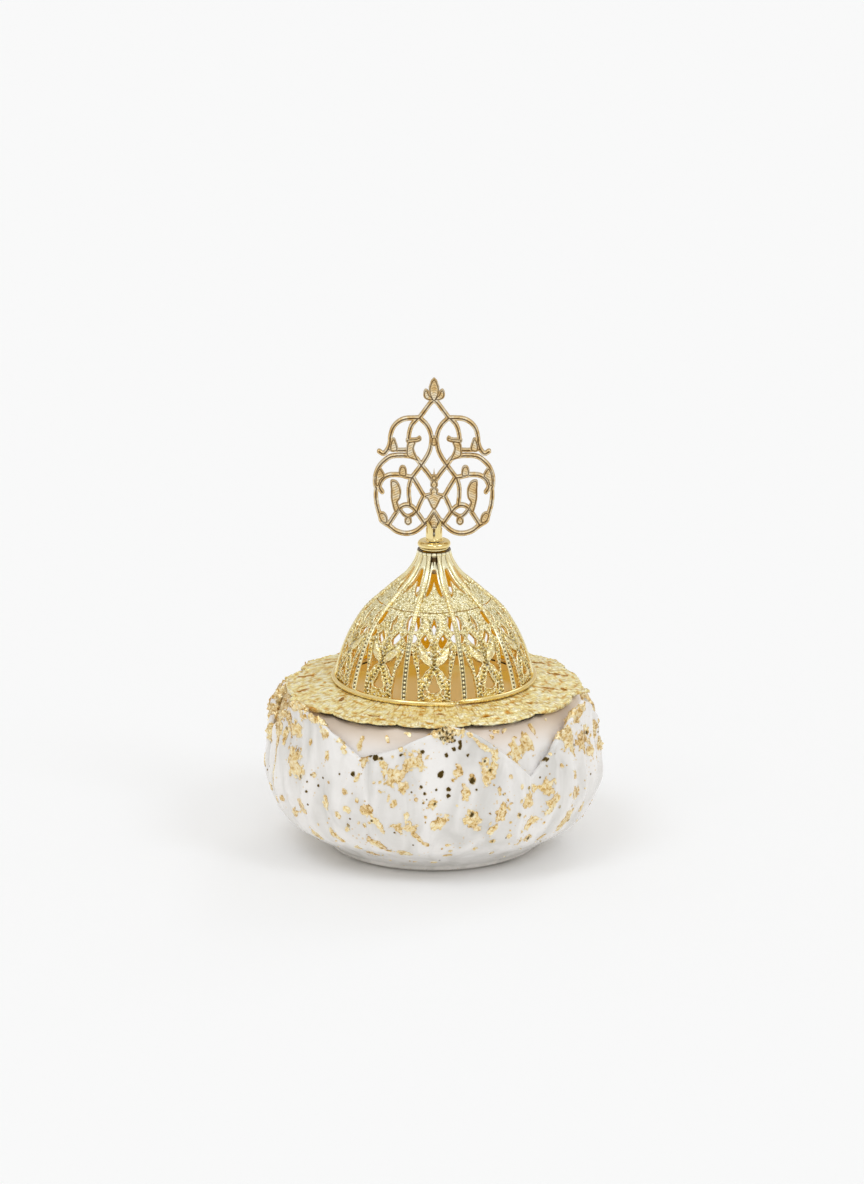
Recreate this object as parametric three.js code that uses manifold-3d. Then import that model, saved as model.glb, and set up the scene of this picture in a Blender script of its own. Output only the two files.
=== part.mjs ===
// A lotus-bowl incense burner: a glazed ceramic bowl of six pointed petals, a brass coal cup inside it,
// and a gilded lid made of a lobed plate, a pierced onion dome, beaded ribs, a collar and an openwork finial.
// Millimetres, +Z up, origin at the centre of the foot, front towards -Y.
import * as THREE from "three";
import { mergeVertices } from "three/addons/utils/BufferGeometryUtils.js";
import Module from "manifold-3d";

const wasm = await Module();
wasm.setup();

// Fits that all pieces share
const seatGap = 0.3; // between two pieces that touch or are soldered together
const overrun = 2; // how far a cutter passes the face that it cuts

// Ceramic bowl
const petalCount = 6;
const bellyRadius = 65.3;
const footRadius = 38;
const footWidth = 6;
const footEdge = 0.9; // rounding of the foot's outer edge
const footRecess = 2; // depth of the hollow under the foot
const petalTipHeight = 66;
const petalThickness = 2.8;
const petalLip = 0.8; // rounding along a petal's edge
const petalRidge = 1.1; // how far a petal's middle stands out
const foldStart = 8; // height at which the petals' folds begin
const foldFull = 32; // height from which they have their full depth
const foldSink = 0.55; // how far the petals lie back between the folds
const petalBackDepth = 12; // free height of a petal's back behind its tip
const mouthRadius = 47;
const mouthDepth = 4.2; // height of the straight wall in the mouth
const rimWidth = 8;
const bowlWall = 6.5;
const bowlFloor = 6; // height of the inner floor over the foot hollow

// Coal cup
const cupFootRadius = 17;
const cupFootHeight = 2;
const cupBaseRadius = 20.5;
const cupRimRadius = 25;
const cupHeight = 23;
const cupWall = 0.9;
const cupLip = 1.6; // width of the rolled rim

// Lobed plate of the lid
const lobeCount = 12;
const plateRadius = 57.2; // to the tip of a lobe
const lobeDepth = 2.2; // from a lobe's tip to the notch beside it
const plateHole = 35.6; // radius of the opening under the dome
const plateOverPetals = 1; // how far the plate's top stands over the front petal's tip
const plateTop = petalTipHeight + plateOverPetals;
const plateFall = 3; // how much lower the lobes' tips are
const plateThickness = 1.3;
const outerSlotRadius = 50.3;
const innerSlotRadius = 45.2;
const outerSlotSpan = 11; // degrees
const innerSlotSpan = 9;
const slotWidth = 1.5;

// Sleeve under the plate, which drops into the bowl's mouth
const sleeveClearance = 1.2;
const sleeveWall = 1;
const sleeveReach = 5.5; // how far it hangs under the plate

// Dome of two pierced shells
const domeRadius = 37.9;
const domeHeight = 51.7;
const domeWall = 1.2;
const seamShare = 0.642; // of the dome's height, where the upper shell laps over the lower
const lapLength = 2;
const panelCount = 10;
const crownThickness = 1.6;

// Wire ring around the dome's base
const ringWire = 1.5;
const ringSplit = 3.2; // gap between the wire's ends
const ringSplitTurn = 13.5; // degrees to the right of the front

// Ribs
const ribFootWidth = 2.1;
const ribNeckWidth = 1.5;
const ribHeight = 1.1;

// Collar, socket and their fasteners
const collarRadius = 6.6;
const collarHeight = 3.4;
const collarLip = 5.9; // radius of the lip under the bead
const collarLipHeight = 0.7;
const studRadius = 1.9;
const studBelow = 8; // how far the stud hangs under the crown
const studInSocket = 3;
const nutAcross = 7;
const nutHeight = 3;
const washerRadius = 4.3;
const washerThickness = 0.8;
const socketRadius = 3.2;
const socketHeight = 10;
const socketFloor = 4.4; // height of the slot's floor over the socket's base
const notchWidth = 4.6;
const notchDepth = 4.4;
const slitWidth = 0.9;
const slitDepth = 3.6;

// Openwork finial plate
const finialHalfWidth = 23.3;
const finialHeight = 65.2; // from the collar to the tip
const finialThickness = 2;
const strandWidth = 1.5;
const thinStrandWidth = 1.2;
const tangWidth = 3.5; // of the finial's foot in the socket's slot

// How finely curves are cut into facets
const bowlStepsPerPetal = 20;
const latheSteps = 36;
const smallLatheSteps = 20;
const domeSteps = 30;
const ringSteps = 36;
const wireSideQuarters = 2;
const ribSteps = 8;
const lobeSteps = 4;
const stepsPerSpan = 1.5;
const curveSamples = 120;

// Colours with roughness and metalness
const glaze = { color: 0xf3f1ef, roughness: 0.22, metalness: 0 };
const gold = { color: 0xe3bd5e, roughness: 0.28, metalness: 1 };
const paleGold = { color: 0xf0dc9a, roughness: 0.18, metalness: 1 };
const antiqueGold = { color: 0xb98f52, roughness: 0.35, metalness: 1 };
const brass = { color: 0xc9a24a, roughness: 0.4, metalness: 1 };
const steel = { color: 0x8c8a86, roughness: 0.4, metalness: 1 };

const radians = THREE.MathUtils.degToRad;
const halfTurn = 180;
const fullTurn = 360;
const burner = new THREE.Group();

// A point at a radius, an angle in degrees to the right of the front, and a height.
function around(radius, degrees, height) {
  const a = radians(degrees);
  return new THREE.Vector3(radius * Math.sin(a), -radius * Math.cos(a), height);
}

function solidOf(geometry) {
  const plain = geometry.clone();
  plain.deleteAttribute("normal");
  plain.deleteAttribute("uv");
  const merged = mergeVertices(plain);
  return new wasm.Manifold(
    new wasm.Mesh({
      numProp: 3,
      vertProperties: merged.attributes.position.array,
      triVerts: new Uint32Array(merged.index.array),
    }),
  );
}

function geometryOf(solid) {
  const { vertProperties, triVerts } = solid.getMesh();
  const geometry = new THREE.BufferGeometry();
  geometry.setAttribute("position", new THREE.BufferAttribute(new Float32Array(vertProperties), 3));
  geometry.setIndex(new THREE.BufferAttribute(new Uint32Array(triVerts), 1));
  geometry.computeVertexNormals();
  return geometry;
}

function addPiece(name, geometry, finish) {
  const piece = new THREE.Mesh(geometry, new THREE.MeshStandardMaterial(finish));
  piece.name = name;
  burner.add(piece);
  return piece;
}

// A closed solid from points and triangles.
function facets(points, triangles) {
  const geometry = new THREE.BufferGeometry().setFromPoints(points);
  geometry.setIndex(triangles.flat());
  return geometry;
}

// A profile of [radius, height] points, counter-clockwise with the outside going up, turned about Z.
function turned(profile, steps) {
  const points = profile.map(([radius, height]) => new THREE.Vector2(radius, height));
  return new THREE.LatheGeometry(points, steps).rotateX(Math.PI / 2);
}

function closed(profile) {
  return [...profile, profile[0]];
}

// Radius as a function of height along a smooth curve through [radius, height] points.
function radiusByHeight(points) {
  const spline = new THREE.SplineCurve(points.map(([radius, height]) => new THREE.Vector2(radius, height)));
  const samples = spline.getPoints(curveSamples);
  return (height) => {
    const found = samples.findIndex((sample) => sample.y >= height);
    const next = Math.max(1, found < 0 ? samples.length - 1 : found);
    const [low, high] = [samples[next - 1], samples[next]];
    const share = THREE.MathUtils.clamp((height - low.y) / (high.y - low.y), 0, 1);
    return low.x + (high.x - low.x) * share;
  };
}

// The lid's plate is flat under the dome and its wire ring, and slopes down from there to its lobes.
const plateSeat = domeRadius + ringWire + 2 * seatGap;
const plateSlope = plateFall / (plateRadius - plateSeat);
const plateTopAt = (radius) => plateTop - Math.max(0, radius - plateSeat) * plateSlope;
const plateUnderAt = (radius) => plateTopAt(radius) - plateThickness;

// Outside of the petals: [share of the belly's radius, share of the petal tip's height]
const petalProfileShares = [
  [0.689, 0.06],
  [0.781, 0.128],
  [0.829, 0.162],
  [0.89, 0.213],
  [0.939, 0.28],
  [0.976, 0.373],
  [1, 0.465],
  [0.994, 0.6],
  [0.972, 0.77],
  [0.958, 0.9],
  [0.97, 1],
];
const petalRadiusAt = radiusByHeight([
  [footRadius, 0],
  ...petalProfileShares.map(([r, z]) => [r * bellyRadius, z * petalTipHeight]),
]);

// Petals from the front one round to the right: where the valley on each petal's left lies, in degrees to the right
// of the front, and the heights of its tip and of the valley on its right, as shares of petalTipHeight
const valleyTurns = [-27.5, 37, 93, 156.3, 216.3, 276.3];
const tipHeightShares = [1, 1, 0.88, 0.88, 0.88, 1.03];
const valleyHeightShares = [0.64, 0.68, 0.68, 0.68, 0.69, 0.77];

// Soft folds that run down a petal: [place at its edge, place at the foot, rise, width]. A place is -1 at the
// valley on the left and 1 at the one on the right. Every second petal has them the other way round.
const folds = [
  [-0.56, -0.74, 1.2, 3.6],
  [-0.2, -0.26, 1.5, 4],
  [0.09, 0.07, 1, 3.2],
  [0.38, 0.52, 1.6, 4.2],
  [0.72, 0.88, 1.1, 3.4],
];

// How far the folds lift the outside of a petal, at a place across it and a height below its edge.
function foldLift(place, halfSpan, height, edge) {
  const lifts = folds.map(([top, foot, rise, width]) => {
    const away = (place - THREE.MathUtils.lerp(foot, top, height / edge)) * halfSpan;
    return rise * Math.exp(-((away / width) ** 2));
  });
  return (Math.max(...lifts) - foldSink) * THREE.MathUtils.smoothstep(height, foldStart, foldFull);
}

// One column of the bowl's skin, at a share of the way from a petal's middle (0) to the valley (1).
function bowlColumn(share, tipShare, valleyShare, place, halfSpan) {
  const edgePower = 1.3;
  const middle = Math.cos((share * Math.PI) / 2);
  const edge = petalTipHeight * THREE.MathUtils.lerp(tipShare, valleyShare, share ** edgePower);
  const rimOuter = mouthRadius + rimWidth;
  const rimHeight = plateUnderAt(rimOuter) - seatGap;
  const mouthHeight = plateUnderAt(mouthRadius) - seatGap;
  const lowRowShares = [0.05, 0.13, 0.23, 0.34, 0.47, 0.6];
  const ridgeAt = (height) => petalRidge * middle * THREE.MathUtils.smoothstep(height, 0, petalTipHeight);
  const liftAt = (height) => ridgeAt(height) + foldLift(place, halfSpan, height, edge);
  const outside = (height) => [petalRadiusAt(height) + liftAt(height), height];
  const lowRows = lowRowShares.map((row) => outside(row * petalTipHeight));
  const lastLow = lowRowShares.at(-1) * petalTipHeight;
  const shoulder = edge - petalLip;
  const crest = petalRadiusAt(edge) + liftAt(edge);
  const groove = edge - petalLip - petalBackDepth * (1 - share);
  const grooveRadius = petalRadiusAt(groove) - petalThickness - petalLip / 2;
  const halfway = (groove + rimHeight) / 2;
  const bulge = petalRidge;
  const floor = footRecess + bowlFloor;
  const innerRowShares = [0.8, 0.62, 0.42, 0.25];
  const inner = innerRowShares.map((row) => {
    const height = row * petalTipHeight;
    return [petalRadiusAt(height) - bowlWall, height];
  });
  return [
    [0, footRecess],
    [footRadius - footWidth - footRecess, footRecess],
    [footRadius - footWidth, 0],
    [footRadius - footEdge, 0],
    [footRadius + footEdge / 2, footEdge],
    ...lowRows,
    outside((lastLow + shoulder) / 2),
    outside(shoulder),
    [crest - petalThickness / 2, edge],
    [crest - petalThickness, shoulder],
    [grooveRadius, groove],
    [(grooveRadius + rimOuter) / 2 + bulge, halfway],
    [rimOuter, rimHeight],
    [mouthRadius, mouthHeight],
    [mouthRadius, mouthHeight - mouthDepth],
    ...inner,
    [footRadius - footEdge, floor],
    [0, floor],
  ];
}

// A skin of columns around Z. Each column runs from one point on the axis to another.
function skin(columns, angles) {
  const rows = columns[0].length;
  const count = columns.length;
  const points = [around(0, 0, columns[0][0][1])];
  columns.forEach((column, c) => {
    column.slice(1, -1).forEach(([radius, height]) => points.push(around(radius, angles[c], height)));
  });
  points.push(around(0, 0, columns[0][rows - 1][1]));
  const inColumn = rows - 2;
  const index = (c, row) => 1 + (c % count) * inColumn + row;
  const triangles = [];
  for (let c = 0; c < count; c++) {
    triangles.push([0, index(c + 1, 0), index(c, 0)]);
    for (let row = 0; row < inColumn - 1; row++) {
      triangles.push([index(c, row), index(c + 1, row), index(c + 1, row + 1)]);
      triangles.push([index(c, row), index(c + 1, row + 1), index(c, row + 1)]);
    }
    triangles.push([points.length - 1, index(c, inColumn - 1), index(c + 1, inColumn - 1)]);
  }
  return facets(points, triangles);
}

function makeBowl() {
  const angles = [];
  const columns = [];
  for (let petal = 0; petal < petalCount; petal++) {
    const start = valleyTurns[petal];
    const span = (valleyTurns[petal + 1] ?? valleyTurns[0] + fullTurn) - start;
    const halfSpan = THREE.MathUtils.degToRad(span / 2) * bellyRadius;
    const leftValley = valleyHeightShares[(petal + petalCount - 1) % petalCount];
    for (let step = 0; step < bowlStepsPerPetal; step++) {
      const sideways = (2 * step) / bowlStepsPerPetal - 1;
      const valley = sideways > 0 ? valleyHeightShares[petal] : leftValley;
      const place = petal % 2 ? -sideways : sideways;
      angles.push(start + (span * step) / bowlStepsPerPetal);
      columns.push(bowlColumn(Math.abs(sideways), tipHeightShares[petal], valley, place, halfSpan));
    }
  }
  addPiece("bowl", skin(columns, angles), glaze);
}

// A spun cup on a hollow foot, with its rim rolled outwards.
function makeCoalCup() {
  const base = footRecess + bowlFloor + seatGap;
  const floor = base + cupFootHeight;
  const rim = base + cupHeight;
  const profile = [
    [0, floor],
    [cupFootRadius - cupWall, floor],
    [cupFootRadius - cupWall, base],
    [cupFootRadius, base],
    [cupFootRadius, floor],
    [cupBaseRadius, floor + cupWall],
    [cupRimRadius, rim - cupLip],
    [cupRimRadius + cupLip, rim - cupLip],
    [cupRimRadius + cupLip, rim - cupLip / 2],
    [cupRimRadius + cupLip / 2, rim],
    [cupRimRadius - cupWall, rim],
    [cupBaseRadius - cupWall, floor + 2 * cupWall],
    [0, floor + cupWall],
  ];
  addPiece("coal_cup", turned(profile, latheSteps), brass);
}

// One slot of the plate: a leaf shape bent along a circle, as a cutter.
function slotCutter(radius, span, middle) {
  const alongShares = [-0.5, -0.2, 0.2, 0.5];
  const bow = (share) => (slotWidth / 2) * Math.cos(share * Math.PI);
  const at = (share, side) => {
    const p = around(radius + side * bow(share), middle + share * span, 0);
    return new THREE.Vector2(p.x, p.y);
  };
  const outer = alongShares.map((share) => at(share, 1));
  const inner = alongShares.slice(1, -1).map((share) => at(share, -1));
  const depth = plateThickness + 2 * overrun;
  const shape = new THREE.Shape([...outer, ...inner.reverse()]);
  const slot = new THREE.ExtrudeGeometry(shape, { depth, bevelEnabled: false });
  return solidOf(slot.translate(0, 0, plateUnderAt(radius) - overrun));
}

function makePlate() {
  const pitch = fullTurn / lobeCount;
  const columns = lobeCount * lobeSteps;
  const points = [];
  const triangles = [];
  for (let column = 0; column < columns; column++) {
    const share = (column % lobeSteps) / lobeSteps;
    const edge = plateRadius - lobeDepth * (1 - Math.sin(share * Math.PI));
    const degrees = (fullTurn * column) / columns;
    const under = [plateHole, plateSeat, edge].map((radius) => around(radius, degrees, plateUnderAt(radius)));
    const top = [edge, plateSeat, plateHole].map((radius) => around(radius, degrees, plateTopAt(radius)));
    const corners = under.length + top.length;
    points.push(...under, ...top);
    const next = (column + 1) % columns;
    for (let side = 0; side < corners; side++) {
      const a = column * corners + side;
      const b = next * corners + side;
      const aUp = column * corners + ((side + 1) % corners);
      const bUp = next * corners + ((side + 1) % corners);
      triangles.push([a, b, bUp], [a, bUp, aUp]);
    }
  }
  let plate = solidOf(facets(points, triangles));
  for (let lobe = 0; lobe < lobeCount; lobe++) {
    const middle = pitch * (lobe + 1 / 2);
    plate = plate.subtract(slotCutter(outerSlotRadius, outerSlotSpan, middle));
    plate = plate.subtract(slotCutter(innerSlotRadius, innerSlotSpan, middle));
  }
  addPiece("lid_plate", geometryOf(plate), gold);
}

function makeSleeve() {
  const outer = mouthRadius - sleeveClearance;
  const inner = outer - sleeveWall;
  const bottom = plateUnderAt(outer) - sleeveReach;
  const profile = closed([
    [inner, bottom],
    [outer, bottom],
    [outer, plateUnderAt(outer) - seatGap],
    [inner, plateUnderAt(inner) - seatGap],
  ]);
  addPiece("locating_sleeve", turned(profile, latheSteps), gold);
}

// Outside of the dome: [share of the dome's radius, share of its height]
const domeProfileShares = [
  [1, 0],
  [0.985, 0.08],
  [0.945, 0.184],
  [0.893, 0.29],
  [0.822, 0.4],
  [0.712, 0.526],
  [0.565, 0.632],
  [0.421, 0.725],
  [0.288, 0.815],
  [0.2, 0.912],
  [0.158, 1],
];
const domeBase = plateTop + seatGap;
const domeTop = domeBase + domeHeight;
const seamHeight = domeBase + seamShare * domeHeight;
const domeRadiusAt = radiusByHeight(
  domeProfileShares.map(([r, z]) => [r * domeRadius, domeBase + z * domeHeight]),
);

// A point of the dome's section, moved out from its outer surface by a distance along the surface's normal.
function domePoint(height, out) {
  const stride = domeHeight / curveSamples;
  const low = Math.max(domeBase, height - stride);
  const high = Math.min(domeTop, height + stride);
  const lean = (domeRadiusAt(high) - domeRadiusAt(low)) / (high - low);
  const length = Math.hypot(1, lean);
  return [domeRadiusAt(height) + out / length, height - (out * lean) / length];
}

function heights(from, to, shares) {
  return shares.map((share) => from + (to - from) * share);
}

// A cutter through the dome's wall, from an outline of [degrees, height] points.
function wallCutter(outline, reach) {
  const flatten = ([degrees, height]) => new THREE.Vector2(radians(degrees) * domeRadius, height);
  const ordered = THREE.ShapeUtils.isClockWise(outline.map(flatten)) ? outline.toReversed() : outline;
  const loop = (out) =>
    ordered.map(([degrees, height]) => {
      const [radius, z] = domePoint(height, out);
      return around(radius, degrees, z);
    });
  const count = ordered.length;
  const triangles = THREE.ShapeUtils.triangulateShape(ordered.map(flatten), []);
  triangles.push(...triangles.map(([a, b, c]) => [a + count, c + count, b + count]));
  for (let i = 0; i < count; i++) {
    const next = (i + 1) % count;
    triangles.push([i, i + count, next + count], [i, next + count, next]);
  }
  return solidOf(facets([...loop(reach), ...loop(-reach)], triangles));
}

// Openings of one panel of the lower shell: [share of half a panel's turn, share of the shell's height]
const tearShares = [
  [0, 0.36],
  [-0.2, 0.21],
  [-0.13, 0.15],
  [0.13, 0.15],
  [0.2, 0.21],
];
const shoulderShares = [
  [0.5, 0.54],
  [0.2, 0.47],
  [0.36, 0.35],
];
const diamondShares = [
  [0.38, 0.82],
  [0.26, 0.745],
  [0.37, 0.66],
  [0.5, 0.74],
];
const lensShares = [
  [0, 0.95],
  [-0.14, 0.88],
  [0, 0.79],
  [0.14, 0.88],
];
// The tall window between two panels, as its right half from the top down
const windowShares = [
  [0, 0.955],
  [0.3, 0.86],
  [0.2, 0.72],
  [0.24, 0.62],
  [0.38, 0.48],
  [0.42, 0.3],
  [0.42, 0.05],
];
// The window of one panel of the upper shell, as its right half from the top down
const neckWindowShares = [
  [0, 0.86],
  [0.55, 0.83],
  [0.6, 0.6],
  [0.72, 0.38],
  [0.7, 0.2],
  [0.34, 0.27],
  [0, 0.4],
];

const flipped = (shares) => shares.map(([across, up]) => [-across, up]);

// A whole outline from its right half, whose first point is on the middle line.
function mirrored(rightHalf) {
  const left = flipped(rightHalf.filter(([across]) => across > 0)).reverse();
  return [...rightHalf, ...left];
}

function pierced(shell, low, high, openings, reach) {
  const halfPanel = halfTurn / panelCount;
  let result = shell;
  for (let panel = 0; panel < panelCount; panel++) {
    openings.forEach(({ shares, turn }) => {
      const middle = 2 * halfPanel * panel + turn * halfPanel;
      const outline = shares.map(([across, up]) => [middle + across * halfPanel, low + up * (high - low)]);
      result = result.subtract(wallCutter(outline, reach));
    });
  }
  return result;
}

function makeLowerShell() {
  const rowShares = [0, 0.25, 0.5, 0.75, 0.93];
  const rows = heights(domeBase, seamHeight, rowShares);
  const lapOut = -(domeWall + seatGap);
  const lapTop = seamHeight + lapLength;
  const joggle = seamHeight - domeWall / 2;
  const profile = closed([
    ...rows.map((height) => domePoint(height, 0)),
    domePoint(joggle, 0),
    domePoint(seamHeight, lapOut),
    domePoint(lapTop, lapOut),
    domePoint(lapTop, lapOut - domeWall / 2),
    domePoint(seamHeight, lapOut - domeWall / 2),
    ...rows.toReversed().map((height) => domePoint(height, -domeWall)),
  ]);
  const openings = [
    { shares: tearShares, turn: 0 },
    { shares: shoulderShares, turn: 0 },
    { shares: flipped(shoulderShares), turn: 0 },
    { shares: diamondShares, turn: 0 },
    { shares: flipped(diamondShares), turn: 0 },
    { shares: lensShares, turn: 0 },
    { shares: mirrored(windowShares), turn: 1 },
  ];
  const shell = solidOf(turned(profile, domeSteps));
  const result = pierced(shell, domeBase, seamHeight, openings, domeWall + overrun);
  addPiece("dome_lower_shell", geometryOf(result), gold);
}

function makeUpperShell() {
  const low = seamHeight + seatGap;
  const rows = heights(low, domeTop, [0, 0.25, 0.5, 0.75, 1]);
  const bore = studRadius + seatGap;
  const crownUnder = domeTop - crownThickness;
  const innerRows = heights(low, crownUnder, [0, 0.25, 0.5, 0.75, 1]);
  const profile = closed([
    ...rows.map((height) => domePoint(height, 0)),
    [bore, domeTop],
    [bore, crownUnder],
    ...innerRows.toReversed().map((height) => domePoint(height, -domeWall)),
  ]);
  const openings = [{ shares: mirrored(neckWindowShares), turn: 0 }];
  const shell = solidOf(turned(profile, domeSteps));
  const result = pierced(shell, low, domeTop, openings, domeWall + overrun);
  addPiece("dome_upper_shell", geometryOf(result), gold);
}

// The wire ring's centre line, open at the split.
class RingLine extends THREE.Curve {
  constructor(radius, height, from, to) {
    super();
    Object.assign(this, { radius, height, from, to });
  }
  getPoint(share) {
    return around(this.radius, this.from + (this.to - this.from) * share, this.height);
  }
}

const ringRadius = domeRadius + seatGap + ringWire / 2;
const ringHeight = plateTop + seatGap + ringWire / 2;

function makeBaseRing() {
  const halfSplit = THREE.MathUtils.radToDeg(ringSplit / 2 / ringRadius);
  const from = ringSplitTurn + halfSplit;
  const to = ringSplitTurn + fullTurn - halfSplit;
  const section = new THREE.Shape().absarc(0, 0, ringWire / 2, 0, 2 * Math.PI);
  const geometry = new THREE.ExtrudeGeometry(section, {
    extrudePath: new RingLine(ringRadius, ringHeight, from, to),
    steps: ringSteps,
    curveSegments: 2 * wireSideQuarters,
  });
  addPiece("base_ring", geometry, paleGold);
}

// A rib lies over both shells, from under the collar down to the wire ring.
function makeRib(number) {
  const degrees = (fullTurn / panelCount) * (number - 1 / 2);
  const low = ringHeight + ringWire / 2 + seatGap + ribHeight / 2;
  const high = domeTop - seatGap - ribHeight / 2;
  const across = new THREE.Vector3(Math.cos(radians(degrees)), Math.sin(radians(degrees)), 0);
  const points = [];
  for (let step = 0; step <= ribSteps; step++) {
    const share = step / ribSteps;
    const height = low + (high - low) * share;
    const half = (ribFootWidth + (ribNeckWidth - ribFootWidth) * share) / 2;
    const place = (out, side) => {
      const [radius, z] = domePoint(height, out);
      return around(radius, degrees, z).addScaledVector(across, side * half);
    };
    const crownShare = 0.6;
    points.push(
      place(seatGap, -1),
      place(seatGap, 1),
      place(seatGap + ribHeight, crownShare),
      place(seatGap + ribHeight, -crownShare),
    );
  }
  const corners = 4;
  const triangles = [
    [0, 1, 2],
    [0, 2, 3],
  ];
  for (let step = 0; step < ribSteps; step++) {
    for (let side = 0; side < corners; side++) {
      const a = step * corners + side;
      const b = step * corners + ((side + 1) % corners);
      triangles.push([a, b + corners, b], [a, a + corners, b + corners]);
    }
  }
  const last = ribSteps * corners;
  triangles.push([last, last + 2, last + 1], [last, last + 3, last + 2]);
  addPiece(`beaded_rib_${number}`, facets(points, triangles), gold);
}

const collarBase = domeTop + seatGap;
const collarTop = collarBase + collarHeight;
const bore = studRadius + seatGap;

function makeCollar() {
  const beadLow = collarBase + collarLipHeight;
  const beadMiddle = (beadLow + collarTop) / 2;
  const beadHalf = (collarTop - beadLow) / 2;
  const beadShares = [-1, -0.5, 0.5, 1];
  const bead = beadShares.map((share) => {
    const sink = beadHalf * (1 - Math.sqrt(1 - (share * share) / 2));
    return [collarRadius - sink * 2, beadMiddle + share * beadHalf];
  });
  const profile = closed([
    [bore, collarBase],
    [collarLip, collarBase],
    [collarLip, beadLow - collarLipHeight / 3],
    ...bead,
    [bore, collarTop],
  ]);
  addPiece("collar", turned(profile, smallLatheSteps), paleGold);
}

const socketBase = collarTop + seatGap;

// A round post, split crosswise for the finial plate, with a V notch and a saw cut at the front and the back.
function makeSocket() {
  const top = socketBase + socketHeight;
  const slotFloor = socketBase + socketFloor;
  const slotHalf = finialThickness / 2 + seatGap;
  const edge = studRadius / 3;
  const post = solidOf(
    turned(
      closed([
        [0, socketBase + studInSocket + seatGap],
        [bore, socketBase + studInSocket + seatGap],
        [bore, socketBase],
        [socketRadius, socketBase],
        [socketRadius, top - edge],
        [socketRadius - edge, top],
        [0, top],
      ]),
      smallLatheSteps,
    ),
  );
  const slotHeight = socketHeight - socketFloor + overrun;
  const slot = new THREE.BoxGeometry(2 * (socketRadius + overrun), 2 * slotHalf, slotHeight);
  slot.translate(0, 0, slotFloor + slotHeight / 2);
  const reach = socketRadius + overrun;
  const vee = new THREE.Shape([
    new THREE.Vector2(-slitWidth / 2, top - notchDepth - slitDepth),
    new THREE.Vector2(slitWidth / 2, top - notchDepth - slitDepth),
    new THREE.Vector2(slitWidth / 2, top - notchDepth),
    new THREE.Vector2(notchWidth / 2, top),
    new THREE.Vector2(notchWidth / 2, top + overrun),
    new THREE.Vector2(-notchWidth / 2, top + overrun),
    new THREE.Vector2(-notchWidth / 2, top),
    new THREE.Vector2(-slitWidth / 2, top - notchDepth),
  ]);
  const notch = new THREE.ExtrudeGeometry(vee, { depth: 2 * reach, bevelEnabled: false });
  notch.rotateX(Math.PI / 2).translate(0, reach, 0);
  const result = post.subtract(solidOf(slot)).subtract(solidOf(notch));
  addPiece("finial_socket", geometryOf(result), paleGold);
}

function makeFasteners() {
  const crownUnder = domeTop - crownThickness;
  const washerTop = crownUnder - seatGap;
  const washerBottom = washerTop - washerThickness;
  const nutTop = washerBottom - seatGap;
  const studTop = socketBase + studInSocket;
  const studBottom = crownUnder - studBelow;
  const tip = studRadius / 4;
  const stud = [
    [0, studBottom],
    [studRadius - tip, studBottom],
    [studRadius, studBottom + tip],
    [studRadius, studTop - tip],
    [studRadius - tip, studTop],
    [0, studTop],
  ];
  addPiece("finial_stud", turned(stud, smallLatheSteps), steel);
  const washer = closed([
    [bore, washerBottom],
    [washerRadius, washerBottom],
    [washerRadius, washerTop],
    [bore, washerTop],
  ]);
  addPiece("stud_washer", turned(washer, smallLatheSteps), steel);
  const corner = nutAcross / 2 / Math.cos(Math.PI / 6);
  const hexagon = new THREE.Shape();
  for (let side = 0; side < 6; side++) {
    const a = (side * Math.PI) / 3;
    if (side === 0) hexagon.moveTo(corner * Math.cos(a), corner * Math.sin(a));
    else hexagon.lineTo(corner * Math.cos(a), corner * Math.sin(a));
  }
  hexagon.holes.push(new THREE.Path().absarc(0, 0, bore, 0, 2 * Math.PI, true));
  const nut = new THREE.ExtrudeGeometry(hexagon, { depth: nutHeight, bevelEnabled: false, curveSegments: 9 });
  addPiece("stud_nut", nut.translate(0, 0, nutTop - nutHeight), steel);
}

// Finial strands, right half: [share of the half width, share of the finial's height] along each centre line
const strandShares = {
  topArch: [[0, 0.863], [0.064, 0.842], [0.155, 0.797], [0.245, 0.752]],
  shoulder: [[0.245, 0.752], [0.446, 0.75], [0.576, 0.733], [0.677, 0.695], [0.725, 0.64], [0.733, 0.6], [0.771, 0.56], [0.837, 0.534], [0.91, 0.548]],
  almondInner: [[0.235, 0.752], [0.125, 0.711], [0.06, 0.662], [0.044, 0.609], [0.084, 0.541], [0.205, 0.466], [0.365, 0.387]],
  almondOuter: [[0.27, 0.75], [0.365, 0.711], [0.41, 0.662], [0.424, 0.61]],
  loopTop: [[0.215, 0.462], [0.285, 0.5], [0.386, 0.517], [0.546, 0.522], [0.707, 0.517], [0.817, 0.492], [0.918, 0.451], [0.972, 0.398], [0.978, 0.35], [0.958, 0.323]],
  innerArc: [[0.365, 0.387], [0.446, 0.391], [0.566, 0.402], [0.727, 0.402], [0.837, 0.383], [0.892, 0.35], [0.905, 0.325], [0.86, 0.298]],
  outerSide: [[0.958, 0.325], [0.966, 0.278], [0.948, 0.218], [0.895, 0.15], [0.87, 0.12], [0.747, 0.09]],
  bottomArc: [[0.747, 0.09], [0.626, 0.056], [0.466, 0.041], [0.315, 0.053], [0.185, 0.09], [0.09, 0.118]],
  hump: [[0.757, 0.095], [0.647, 0.158], [0.556, 0.203], [0.456, 0.217], [0.355, 0.203], [0.265, 0.162], [0.165, 0.109]],
  band: [[0.375, 0.383], [0.415, 0.331], [0.418, 0.278], [0.4, 0.215]],
  centreLink: [[0.215, 0.462], [0.114, 0.417], [0.03, 0.372]],
  latticeUpper: [[0.35, 0.385], [0.255, 0.327], [0.169, 0.274], [0.12, 0.272]],
  latticeLower: [[0.169, 0.276], [0.245, 0.218], [0.285, 0.178]],
  diamondLink: [[0.0, 0.178], [0.09, 0.128], [0.15, 0.1]],
};
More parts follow.
